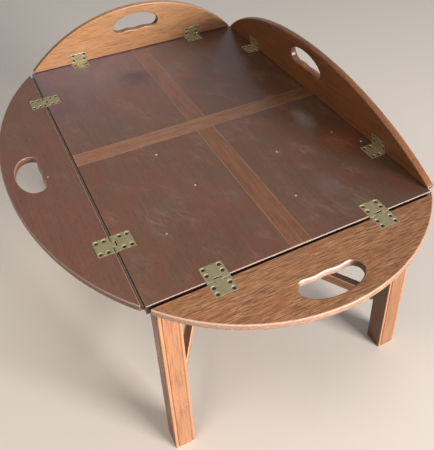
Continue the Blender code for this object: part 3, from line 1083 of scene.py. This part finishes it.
        # Worn paleness and painted highlight on the upper arris, and paler walls, both scaled by the painted
        # light along the leaf
        light_along = self.end_wear[0] + (self.end_wear[1] - self.end_wear[0]) * along
        this_arris_wear_and_light = light_along * self.crest_wear * 2 * max(normal.z, 0.0) * level
        this_wall_wear_and_light = light_along * self.wall_wear * level
        # At the handhold the gripped side is painted pale, its ends painted shade
        is_hold = middle.y < reach - self.handhold.margin / 2
        if is_hold and abs(middle.x) < self.handhold.length / 2 + self.hold_rounds[0]:
            gripped = max(normal.y / level, 0.0) ** grip_falloff
            this_arris_wear_and_light *= max(gripped, self.far_crest) / light_along
            this_wall_wear_and_light = (self.grip_wear * gripped + self.hold_ends * (1 - gripped)) * level
        return min(this_arris_wear_and_light + this_wall_wear_and_light, 1.0)

    def build(self) -> Mesh:
        """Make the leaf's mesh in place.

        Returns:
            The mesh.
        """
        section = self.line.section(self.hinge.knuckle_radius)
        below, above = self._levels(section, self.edge_rounds)
        under, over = (arris / edge for arris, edge in zip(self.hinge_arrises, self.edge_rounds))
        lip_top = -self.hinge.knuckle_radius - self.hinge.fit
        rim = [(inset, under * inset, True, z) for inset, z in below + [(0.0, lip_top)]]
        rim += [(inset, over * inset, False, z) for inset, z in [(0.0, lip_top)] + above]
        rim = [[(*point, z) for point in self._plan(section, *level)] for *level, z in rim]
        below, above = self._levels(section, self.hold_rounds)
        hold = [[(*point, z) for point in self.handhold.outline(section.reach, inset)]
                for inset, z in below + above]
        bm = bmesh.new()
        for outer, inner in zip(self._wall(bm, rim), self._wall(bm, hold)):
            bmesh.ops.triangle_fill(bm, use_beauty=True, edges=outer + inner)
        pockets = [self._pocket(x, section.top) for x in self.line.hinges().values()]
        mesh = cut_away(mesh_of(bm, "board"), pockets)
        bm = bmesh.new()
        bm.from_mesh(mesh)
        shade(bm, lambda face: self._worn(face, section.reach), lambda face: abs(face.normal.z) > SQUARE)
        bmesh.ops.transform(bm, matrix=self.line.on_leaf(), verts=bm.verts)
        return mesh_of(bm, self.line.leaf + FINISHED)

    def dress(self) -> None:
        """Put the leaf on the table."""
        leaf = self.line.leaf
        add_piece(leaf + FINISHED, self.build(), self.finish.material(), leaf, [leaf])


@dataclass(frozen=True)
class Screws:
    """Slotted countersunk screws, set out by a node tree, one mesh for each body."""

    finish: AgedBrass
    head_radius: float = 2.55 * MM
    shank_radius: float = 1.5 * MM
    head_depth: float = 0.8 * MM
    slot_width: float = 0.75 * MM
    slot_depth: float = 0.5 * MM
    facets: int = 24
    seed: int = 7

    def _sizes(self) -> dict[str, float]:
        """The screw's sizes, by the node tree's names for them."""
        return {"Head Radius": self.head_radius, "Shank Radius": self.shank_radius,
                "Head Depth": self.head_depth, "Slot Width": self.slot_width,
                "Slot Depth": self.slot_depth}

    def tree(self) -> Tree:
        """Build the node tree that puts a screw at each point.

        Returns:
            The tree.
        """
        tree = bpy.data.node_groups.new("hinge_screws", "GeometryNodeTree")
        kinds = {"Places": "Geometry", **dict.fromkeys(self._sizes(), "Float"), "Seed": "Int",
                 "Brass": "Material"}
        for name, kind in kinds.items():
            tree.interface.new_socket(name, in_out="INPUT", socket_type="NodeSocket" + kind)
        tree.interface.new_socket("Screws", in_out="OUTPUT", socket_type="NodeSocketGeometry")
        given = tree.nodes.new("NodeGroupInput").outputs
        head = add_node(tree, "GeometryNodeMeshCone", "Mesh", {
            "Vertices": self.facets, "Radius Top": given["Head Radius"],
            "Radius Bottom": given["Shank Radius"], "Depth": given["Head Depth"]})
        sunk, across, deep = (
            add_node(tree, "ShaderNodeMath", inputs={"Value": given[name], "Value_001": times},
                     operation="MULTIPLY")
            for name, times in (("Head Depth", -1.0), ("Head Radius", 3.0), ("Slot Depth", 2.0)))
        down = add_node(tree, "ShaderNodeCombineXYZ", inputs={"Z": sunk})
        head = add_node(tree, "GeometryNodeTransform", inputs={"Geometry": head, "Translation": down})
        size = add_node(tree, "ShaderNodeCombineXYZ", inputs={
            "X": across, "Y": given["Slot Width"], "Z": deep})
        slot = add_node(tree, "GeometryNodeMeshCube", "Mesh", {"Size": size})
        head = add_node(tree, "GeometryNodeMeshBoolean", "Mesh", {"Mesh 1": head, "Mesh 2": slot},
                        operation="DIFFERENCE")
        angle = add_node(tree, "FunctionNodeRandomValue", "Value_001",
                         {"Min_001": 0.0, "Max_001": math.pi, "Seed": given["Seed"]}, data_type="FLOAT")
        euler = add_node(tree, "ShaderNodeCombineXYZ", inputs={"Z": angle})
        turn = add_node(tree, "FunctionNodeEulerToRotation", inputs={"Euler": euler})
        placed = add_node(tree, "GeometryNodeInstanceOnPoints", "Instances", {
            "Points": given["Places"], "Instance": head, "Rotation": turn})
        real = add_node(tree, "GeometryNodeRealizeInstances", inputs={"Geometry": placed})
        done = add_node(tree, "GeometryNodeSetMaterial", inputs={
            "Geometry": real, "Material": given["Brass"]})
        add_node(tree, "NodeGroupOutput", inputs={"Screws": done})
        return tree

    def build(self, tree: Tree, places: Sequence[Sequence[float]], material: Material, name: str) -> Mesh:
        """Make the screws at some places.

        Args:
            tree: The node tree.
            places: Where the middles of the heads' tops go.
            material: The screws' finish.
            name: The mesh's name.

        Returns:
            The mesh of all the screws.
        """
        points = bpy.data.meshes.new("screw_places")
        points.from_pydata(places, [], [])
        holder = add_object("screw_places", points)
        modifier = holder.modifiers.new("screws", "NODES")
        modifier.node_group = tree
        values = {**self._sizes(), "Seed": self.seed, "Brass": material}
        for item in tree.interface.items_tree:
            if item.name in values:
                modifier[item.identifier] = values[item.name]
        graph = bpy.context.evaluated_depsgraph_get()
        mesh = bpy.data.meshes.new_from_object(holder.evaluated_get(graph))
        bpy.data.objects.remove(holder)
        bpy.data.meshes.remove(points)
        mesh.name = name
        return mesh


@dataclass(frozen=True)
class Hinges:
    """All the hinges, with their plates, pins and screws."""

    lines: Sequence[HingeLine]
    hinge: Hinge
    plate_finish: AgedBrass
    screws: Screws

    def dress(self) -> None:
        """Put the plates, pins and screws on the table."""
        brass = self.plate_finish.material()
        screw_brass = self.screws.finish.material()
        tree = self.screws.tree()
        gap = self.lines[0].section(self.hinge.knuckle_radius).gap
        plates = {plate: self.hinge.build(plate, gap) for plate in Plate}
        top = self.hinge.knuckle_radius - self.hinge.screw_recess
        on_tray = []
        for line in self.lines:
            on_leaf = []
            for hinge, x in line.hinges().items():
                shift = Matrix.Translation((x, 0, 0))
                sides = ((Plate.TRAY, "tray", line.on_tray()), (Plate.LEAF, line.leaf, line.on_leaf()))
                for plate, body, place in sides:
                    mesh = plates[plate].copy()
                    mesh.transform(place @ shift)
                    node = hinge + "_" + plate.name.lower() + "_plate"
                    add_piece(node + FINISHED, mesh, brass, body, [node])
                on_tray += [line.on_tray() @ shift @ Vector((*point, top))
                            for point in self.hinge.screws(Plate.TRAY)]
                on_leaf += [shift @ Vector((*point, top)) for point in self.hinge.screws(Plate.LEAF)]
                dress_node(hinge + "_pin", brass)
            name = line.leaf + "_screws"
            mesh = self.screws.build(tree, on_leaf, screw_brass, name)
            mesh.transform(line.on_leaf())
            add_piece(name, mesh, screw_brass, line.leaf)
        mesh = self.screws.build(tree, on_tray, screw_brass, "tray_screws")
        add_piece("tray_screws", mesh, screw_brass, "tray")


# Tray and stand

@dataclass(frozen=True)
class Tray:
    """The tray: a board, four quarters of dark veneer, and the lighter bands that cross between them."""

    field: Mahogany
    short_band: Mahogany
    long_band: Mahogany
    batten: Mahogany
    top_arris: float = 1.8 * MM
    # Painted shade on the rim's sides; worn paleness with a painted highlight on the front arris, little on
    # the others
    rim_shade: float = -0.9
    front_wear_and_highlight: float = 0.6
    side_wear: float = 0.08
    line_width: float = 2.0 * MM
    line_wear: float = 0.08
    under_arris: float = 0.8 * MM
    steps: int = 4

    def _at_rim(self, edge: Edge) -> bool:
        """Tell an edge along the top of the tray's rim.

        Args:
            edge: The edge.

        Returns:
            Whether it lies there.
        """
        low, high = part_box("tray_board")
        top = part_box("band_short")[1].z
        ends = [vert.co for vert in edge.verts]
        if any(abs(point.z - top) > TOUCH for point in ends):
            return False
        return any(abs(ends[0][i] - side[i]) < TOUCH and abs(ends[1][i] - side[i]) < TOUCH
                   for i in (0, 1) for side in (low, high))

    def _at_foot(self, edge: Edge) -> bool:
        """True for an edge along the bottom of the tray's board."""
        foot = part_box("tray_board")[0].z
        return is_arris(edge) and all(abs(vert.co.z - foot) < TOUCH for vert in edge.verts)

    def _tray_wear_and_light(self, normal: Vector, is_round: bool) -> float:
        """How a face is painted: the front arris is rubbed pale and takes a painted highlight, the other
        arrises little, and the rim's sides take painted shade.

        Args:
            normal: The way the face looks.
            is_round: Whether it is on a rounded arris.

        Returns:
            How pale it is painted, from -1 to 1.
        """
        up, front, upright = 0.7, -0.1, 0.6
        if is_round and normal.z > up:
            return self.front_wear_and_highlight if normal.y < front else self.side_wear
        return self.rim_shade if abs(normal.z) < upright else 0.0

    def _draw_lines(self, mesh: Mesh) -> None:
        """Draw the pale line along each side of a band.

        Args:
            mesh: The band's mesh.
        """
        bm = bmesh.new()
        bm.from_mesh(mesh)
        worn = bm.faces.layers.float[WORN_AND_LIT]
        tops = [face for face in bm.faces if face.normal.z > SQUARE and face[worn] == 0]
        made = bmesh.ops.inset_region(bm, faces=tops, thickness=self.line_width, use_even_offset=True)
        for face in made["faces"]:
            face[worn] = self.line_wear
        bm.to_mesh(mesh)
        bm.free()

    def dress(self) -> None:
        """Put the tray's pieces on the table."""
        field = self.field.material()
        finishes = {"field_": (field, "field_mahogany"),
                    "band_long": (self.long_band.material(), "band_mahogany"),
                    "band_short": (self.short_band.material(), "band_mahogany")}
        for node in frame["nodes"]:
            for start, (material, slot) in finishes.items():
                if node.startswith(start):
                    mesh = eased_copy(node, self.top_arris, self.steps, self._at_rim, self._tray_wear_and_light)
                    if start != "field_":
                        self._draw_lines(mesh)
                    add_piece(node + FINISHED, mesh, material, "tray", [node])
        mesh = eased_copy("tray_board", self.under_arris, self.steps, self._at_foot, self._tray_wear_and_light)
        add_piece("tray_board" + FINISHED, mesh, field, "tray", ["tray_board"])
        batten = self.batten.material()
        for node in ("batten_front", "batten_back"):
            mesh = eased_copy(node, self.under_arris, self.steps, is_arris)
            add_piece(node + FINISHED, mesh, batten, "tray", [node])


@dataclass(frozen=True)
class Stand:
    """The stand: beaded legs, apron rails tenoned into them, and crossed stretchers."""

    leg_finishes: dict[str, Mahogany]
    rail_finishes: dict[str, Mahogany]
    stretcher_finishes: dict[str, Mahogany]
    bead: float = 5.0 * MM
    bead_round: float = 0.9 * MM
    quirk: float = 2.1 * MM
    quirk_depth: float = 1.8 * MM
    corner: float = 1.6 * MM
    arris: float = 1.0 * MM
    stretcher_arris: float = 1.6 * MM
    # Painted shade on the stretchers' tops and on the legs' left sides
    stretcher_top_shade: float = -0.6
    left_side_shade: float = -0.24
    broad_share: float = 0.2
    steps: int = 4
    bead_steps: int = 8

    def _face(self, size: float) -> list[Point]:
        """Draw a beaded face: distance along it, and depth below its plane.

        Args:
            size: The leg's width.

        Returns:
            The points, from corner to corner.
        """
        start = self.corner
        half = (self.bead - start) / 2
        bead = []
        for i in range(self.bead_steps + 1):
            share = 2 * i / self.bead_steps - 1
            bead.append((start + half + half * share, self.bead_round * share ** 2 * (share > 0)))
        groove = [(self.bead + self.quirk / 2, self.quirk_depth), (self.bead + self.quirk, 0.0)]
        near = bead + groove
        return near + [(size - along, depth) for along, depth in reversed(near)]

    def _leg_outline(self, size: float) -> list[Point]:
        """Draw a leg's section, its beaded faces on -X and -Y.

        Args:
            size: The leg's width.

        Returns:
            The outline's points.
        """
        half = size / 2
        round_off = (self.corner, self.corner)
        inner = half - self.corner
        face = self._face(size)
        front = [(along - half, depth - half) for along, depth in face]
        left = [(depth - half, along - half) for along, depth in reversed(face)]
        turns = [arc((x, y), round_off, start, start + math.pi / 2, self.steps)[1:-1]
                 for x, y, start in ((inner, -inner, -math.pi / 2), (inner, inner, 0.0),
                                     (-inner, inner, math.pi / 2), (-inner, -inner, math.pi))]
        right_side = [(half, -inner), (half, inner)]
        back_side = [(inner, half), (-inner, half)]
        return front + turns[0] + right_side + turns[1] + back_side + turns[2] + left + turns[3]

    def _leg_wear_and_shade(self, face: Face, broad: float) -> float:
        """How worn a leg's face is: its beads are rubbed, and its left side takes painted shade.

        Args:
            face: The face.
            broad: The area that a leg's flat sides have at least.

        Returns:
            How pale it is painted, from -1 to 1.
        """
        if abs(face.normal.z) > SQUARE:
            return 0.0
        if face.calc_area() < broad:
            return 1.0
        return self.left_side_shade if face.normal.x < -SQUARE else 0.0

    def _leg(self, node: str) -> Mesh:
        """Make a leg in place.

        Args:
            node: The CAD leg's name.

        Returns:
            The leg's mesh.
        """
        low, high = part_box(node)
        middle = (low + high) / 2
        centre = (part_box("tray_board")[0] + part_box("tray_board")[1]) / 2
        out = middle - centre
        yaw = math.atan2(math.copysign(1, out.y), math.copysign(1, out.x)) - math.atan2(-1, -1)
        bm = bmesh.new()
        add_prism(bm, self._leg_outline(high.x - low.x), lambda point, end: (*point, (low.z, high.z)[end]))
        place = Matrix.Translation((middle.x, middle.y, 0)) @ Matrix.Rotation(yaw, 4, "Z")
        bmesh.ops.transform(bm, matrix=place, verts=bm.verts)
        bmesh.ops.recalc_face_normals(bm, faces=bm.faces)
        broad = self.broad_share * (high.x - low.x) * (high.z - low.z)
        shade(bm, lambda face: self._leg_wear_and_shade(face, broad),
              lambda face: abs(face.normal.z) > SQUARE or face.calc_area() > broad)
        return mesh_of(bm, node + FINISHED)

    def _stretcher_light_and_shade(self, normal: Vector, is_round: bool) -> float:
        """Worn paleness and painted highlight on a stretcher's rounded arrises, and painted shade on its top
        under the tray.
        """
        return 1.0 if is_round else self.stretcher_top_shade if normal.z > SQUARE else 0.0

    def dress(self) -> None:
        """Put the stand's pieces on the table."""
        pieces = [(node, finish, self._leg(node)) for node, finish in self.leg_finishes.items()]
        pieces += [(node, finish, eased_copy(node, self.arris, self.steps, is_arris))
                   for node, finish in self.rail_finishes.items()]
        pieces += [(node, finish, eased_copy(node, self.stretcher_arris, self.steps, is_arris,
                                             self._stretcher_light_and_shade))
                   for node, finish in self.stretcher_finishes.items()]
        for node, finish, mesh in pieces:
            add_piece(node + FINISHED, mesh, finish.material(), "stand", [node])


# Studio

@dataclass(frozen=True)
class Lamp:
    """A soft box: a square area light aimed at a point."""

    name: str
    location: Sequence[float]
    aim: Sequence[float]
    size: float
    power: float
    colour: str

    def build(self) -> None:
        """Add the lamp."""
        light = bpy.data.lights.new(self.name, "AREA")
        light.size = self.size
        light.energy = self.power
        light.color = srgb(self.colour)[:3]
        lamp = add_object(self.name, light)
        lamp.location = self.location
        lamp.rotation_euler = (Vector(self.aim) - Vector(self.location)).to_track_quat("-Z", "Y").to_euler()


@dataclass(frozen=True)
class Camera:
    """The camera, in front of the table and to its left, looking down on the top."""

    location: Sequence[float] = (-0.33363, -0.88624, 1.10679)
    azimuth: float = math.radians(25.605)
    elevation: float = math.radians(35.380)
    roll: float = math.radians(-1.991)
    lens_mm: float = 47.888
    shift: Point = (-0.02352, -0.19875)

    def build(self) -> None:
        """Add the camera and make it the scene's own."""
        data = bpy.data.cameras.new("camera")
        data.lens = self.lens_mm
        data.shift_x, data.shift_y = self.shift
        camera = add_object("camera", data)
        turn = Matrix.Rotation(-self.azimuth, 4, "Z") @ Matrix.Rotation(math.pi / 2 - self.elevation, 4, "X")
        camera.matrix_world = Matrix.Translation(self.location) @ turn @ Matrix.Rotation(self.roll, 4, "Z")
        bpy.context.scene.camera = camera


@dataclass(frozen=True)
class Studio:
    """A pale floor under soft light, with a dim room round it that is brighter towards the horizon."""

    floor: PaleFloor
    lamps: Sequence[Lamp]
    camera: Camera
    floor_size: float = 24.0
    horizon: str = "C4C9CF"
    zenith: str = "9A9EA6"
    strength: float = 1.0
    dim_side: float = 0.35
    warm_side: str = "C9B49E"
    rise: Point = (0.1, 0.8)
    opening: Point = (-0.9, 0.4)

    def _world(self) -> None:
        """Light the room."""
        world = bpy.data.worlds.new("studio")
        bpy.context.scene.world = world
        world.use_nodes = True
        tree = world.node_tree
        tree.nodes.clear()
        way = add_node(tree, "ShaderNodeTexCoord", "Generated")
        height = add_node(tree, "ShaderNodeSeparateXYZ", "Z", {"Vector": way})
        rise = add_node(tree, "ShaderNodeMapRange", "Result", interpolation_type="SMOOTHSTEP", inputs={
            "Value": height, "From Min": self.rise[0], "From Max": self.rise[1]})
        colour = add_node(tree, "ShaderNodeMix", "Result_Color", data_type="RGBA", inputs={
            "Factor_Float": rise, "A_Color": srgb(self.horizon), "B_Color": srgb(self.zenith)})
        side = add_node(tree, "ShaderNodeSeparateXYZ", "X", {"Vector": way})
        open_side = add_node(tree, "ShaderNodeMapRange", "Result", interpolation_type="SMOOTHSTEP", inputs={
            "Value": side, "From Min": self.opening[0], "From Max": self.opening[1]})
        colour = add_node(tree, "ShaderNodeMix", "Result_Color", {
            "Factor_Float": open_side, "A_Color": srgb(self.warm_side), "B_Color": colour}, data_type="RGBA")
        strength = add_node(tree, "ShaderNodeMapRange", "Result", {
            "Value": open_side, "To Min": self.dim_side, "To Max": self.strength})
        shader = add_node(tree, "ShaderNodeBackground", inputs={"Color": colour, "Strength": strength})
        add_node(tree, "ShaderNodeOutputWorld", inputs={"Surface": shader})

    def build(self) -> None:
        """Set up the floor, the lights and the camera."""
        bm = bmesh.new()
        bmesh.ops.create_grid(bm, x_segments=1, y_segments=1, size=self.floor_size / 2)
        mesh = mesh_of(bm, "floor")
        mesh.materials.append(self.floor.material())
        floor = add_object("floor", mesh)
        self._world()
        for lamp in self.lamps:
            lamp.build()
        self.camera.build()
        bpy.context.scene.view_settings.view_transform = "Standard"


# This table's own pieces

ALONG_X, ALONG_Y, ALONG_Z = (grain.value for grain in Grain)


def make_leaves(lines: Sequence[HingeLine], hinge: Hinge) -> list[Leaf]:
    """Set out the leaves: the left one dark and greyish, the front one rubbed with painted highlights, the
    back one pale, the right one red.

    Args:
        lines: The leaves' hinge lines.
        hinge: The hinge that all of them have.

    Returns:
        The leaves.
    """
    raised_arrises = (0.8 * MM, 2.8 * MM)
    middles = {line.side: line.middle for line in lines}
    across = (middles[Side.RIGHT] - middles[Side.LEFT]).x / 2
    length = (middles[Side.BACK] - middles[Side.FRONT]).y / 2
    long_curve, short_curve = (length, 180.0 * MM), (across, 240.0 * MM)
    curves = {Side.LEFT: long_curve, Side.FRONT: short_curve, Side.BACK: short_curve, Side.RIGHT: long_curve}
    # Each leaf's pale edge tint also paints highlights; the front leaf takes painted shade towards its right
    finishes = {
        Side.LEFT: Mahogany("mahogany_left_leaf", "724E3F", "7C5748", "523429", "C4B2A4", ALONG_Y,
                            streak_share=0.2, pore_mm=(10.0, 2.6), pore_share=0.35, patch_share=0.25,
                            patch="7A4A3A", mottle="5E5445", mottle_share=0.25, is_top=True, scuffs=0.08),
        Side.FRONT: Mahogany("mahogany_front_leaf", "A0704D", "CC9E74", "4E301E", "E8D0C6", ALONG_X,
                             figure_share=0.2, streak_mm=(28.0, 1.9), streak_share=0.7, pore_mm=(11.0, 1.4),
                             pore_share=0.65, patch_mm=22.0, patch_share=0.3, patch="9A623F", worn_share=0.9,
                             gloss=(0.36, 0.48), is_top=True, shaded=0.16, scuffs=0.06, nicks=0.0),
        Side.BACK: Mahogany("mahogany_back_leaf", "AA805F", "BC9570", "7A5138", "CFA78A", ALONG_X,
                            streak_mm=(30.0, 2.0), streak_share=0.6, patch_share=0.3, patch="A97850"),
        Side.RIGHT: Mahogany("mahogany_right_leaf", "8A5C40", "94663F", "553320", "DCC2B8", ALONG_Y,
                             streak_mm=(60.0, 3.0), streak_share=0.6, patch_mm=70.0, patch_share=0.5,
                             patch="945E2A"),
    }
    # Worn paleness, painted light and painted shade on each leaf's arrises, handhold and joint
    wear_and_light = {
        Side.LEFT: {"seam_wear": 0.8, "far_crest": 0.7, "hold_ends": 0.0, "edge_forward": 0.5 * MM,
                    "hinge_arrises": (0.8 * MM, 1.2 * MM)},
        Side.FRONT: {"crest_wear": 0.8, "wall_wear": 0.45, "grip_wear": 0.55, "end_wear": (0.12, 0.65)},
        Side.BACK: {"crest_wear": 0.2, "wall_wear": 0.05, "grip_wear": -0.4, "hinge_arrises": raised_arrises},
        Side.RIGHT: {"crest_wear": 0.1, "wall_wear": 0.2, "grip_wear": 0.0, "end_wear": (-0.3, -1.5),
                     "hinge_arrises": raised_arrises},
    }
    return [Leaf(line, finishes[line.side], *curves[line.side], Handhold(), hinge, **wear_and_light[line.side])
            for line in lines]


def make_tray(batten: Mahogany) -> Tray:
    """Choose the tray's woods: dark veneer with painted reflections and a darker patch, painted sheen and
    painted shade, and redder bands.

    Args:
        batten: The wood of the strips under the tray.

    Returns:
        The tray.
    """
    # Painted reflections of the room in the varnish: a dark blotch at the back, a pale blurry spot and a
    # reddish glow towards the right leaf, and a grey haze at the front right; then a broad darker patch at
    # the front left
    tint_patches = [TintPatch((0.005, 0.31), (52.0, 42.0), "3A2E28", 0.38),
              TintPatch((0.255, -0.027), (26.0, 48.0), "A8938B", 0.42),
              TintPatch((0.28, -0.12), (56.0, 60.0), "9A521C", 0.5),
              TintPatch((0.178, -0.228), (32.0, 44.0), "8E8A90", 0.22),
              TintPatch((-0.065, -0.27), (130.0, 150.0), "3A2E28", 0.2)]
    # The pale edge tint paints the highlight on the tray's front arris, and the painted sheen is room light
    # reflected in the varnish
    field = Mahogany("mahogany_field_veneer", "715140", "7A5948", "4B342A", "EBD8CE", ALONG_Y,
                     streak_share=0.25, pore_mm=(12.0, 3.0), pore_share=0.4, patch_share=0.4,
                     worn_share=0.85, mottle="5E5445", mottle_share=0.35, patch="7A4B3B",
                     gloss=(0.28, 0.31), is_top=True, scuffs=0.2, bloom=0.31, tint_patches=tint_patches)
    band_wood = {"ground": "855C41", "light": "93694C", "dark": "583A28", "edge": "EBD8CE",
                 "streak_share": 0.5, "pore_mm": (14.0, 2.2), "pore_share": 0.5, "gloss": (0.28, 0.31),
                 "patch_mm": 30.0, "worn_share": 0.85, "is_top": True, "scuffs": 0.12, "bloom": 0.3}
    # The short band takes stronger painted shade towards the right
    short_wood = {**band_wood, "ground": "996F52", "light": "A67C5B", "shaded": 0.5}
    return Tray(field, Mahogany("mahogany_short_band", grain=ALONG_X, **short_wood),
                Mahogany("mahogany_long_band", grain=ALONG_Y, **band_wood), batten)


def make_stand(wood: dict[str, Any], rail_across: Mahogany) -> Stand:
    """Choose the stand's woods, with the grain along each piece and a darker copy of the wood on the right
    legs as painted shade.

    Args:
        wood: The settings of the stand's wood.
        rail_across: The wood of the front and back rails.

    Returns:
        The stand.
    """
    left_leg = Mahogany("mahogany_left_leg", grain=ALONG_Z, **wood)
    # A darker copy of the leg wood paints shade on the right legs
    right_leg_in_shade = Mahogany("mahogany_right_leg", grain=ALONG_Z,
                         **{**wood, "ground": "9A6C50", "light": "A67A58", "patch": "9C7148"})
    rail_along = Mahogany("mahogany_rail_along", grain=ALONG_Y, **wood)
    # The stretchers' pale edge tint paints highlights on their arrises
    stretcher_wood = {"ground": "C48A66", "light": "CE9670", "dark": "774B32", "edge": "E6C8AE",
                      "worn_share": 0.8}
    leg_low, leg_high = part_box("leg_back_right")
    other_low, other_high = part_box("leg_front_left")
    span = (leg_low + leg_high - other_low - other_high) / 2
    slant = math.atan2(span.y, span.x)
    rising = Mahogany("mahogany_rising_stretcher", grain=(0, 0, -slant), **stretcher_wood)
    falling = Mahogany("mahogany_falling_stretcher", grain=(0, 0, slant), **stretcher_wood)
    return Stand(
        {"leg_front_left": left_leg, "leg_back_left": left_leg,
         "leg_front_right": right_leg_in_shade, "leg_back_right": right_leg_in_shade},
        {"rail_front": rail_across, "rail_back": rail_across,
         "rail_left": rail_along, "rail_right": rail_along},
        {"cross_stretcher_rising": rising, "cross_stretcher_falling": falling})


def make_studio() -> Studio:
    """Set up a low sunny window in front and a weak lamp overhead.

    Returns:
        The studio.
    """
    middle = (0.06, 0.0, 0.4)
    window = Lamp("window_key", (2.0, -4.06, 1.34), middle, 1.9, 400.0, "FFF5EA")
    ceiling = Lamp("ceiling_fill", (-0.7, -0.6, 1.7), middle, 0.5, 9.0, "FFF1E2")
    return Studio(PaleFloor(), [window, ceiling], Camera())


def main() -> None:
    """Build the table's looks, piece by piece."""
    logging.basicConfig(level=logging.INFO, format="%(name)s: %(message)s")
    lines = [HingeLine.of(side) for side in Side]
    hinge = Hinge()
    for leaf in make_leaves(lines, hinge):
        leaf.dress()
    plate_brass = AgedBrass("aged_brass_plate", "B2A986", "948C6E", "E6E0C2")
    screw_brass = AgedBrass("aged_brass_screw", "5A523B", "3D3827", "8F8662", roughness=(0.45, 0.6),
                            patch_mm=4.0)
    Hinges(lines, hinge, plate_brass, Screws(screw_brass)).dress()
    stand_wood = {"ground": "B27E60", "light": "C08C68", "dark": "774B32", "edge": "D2A07C",
                  "streak_mm": (60.0, 3.0), "streak_share": 0.55, "pore_mm": (20.0, 1.7),
                  "pore_share": 0.5, "patch_mm": 40.0, "patch_share": 0.35, "patch": "B48452"}
    rail_across = Mahogany("mahogany_rail_across", grain=ALONG_X, **stand_wood)
    make_tray(rail_across).dress()
    make_stand(stand_wood, rail_across).dress()
    make_studio().build()


if __name__ == "__main__":
    main()
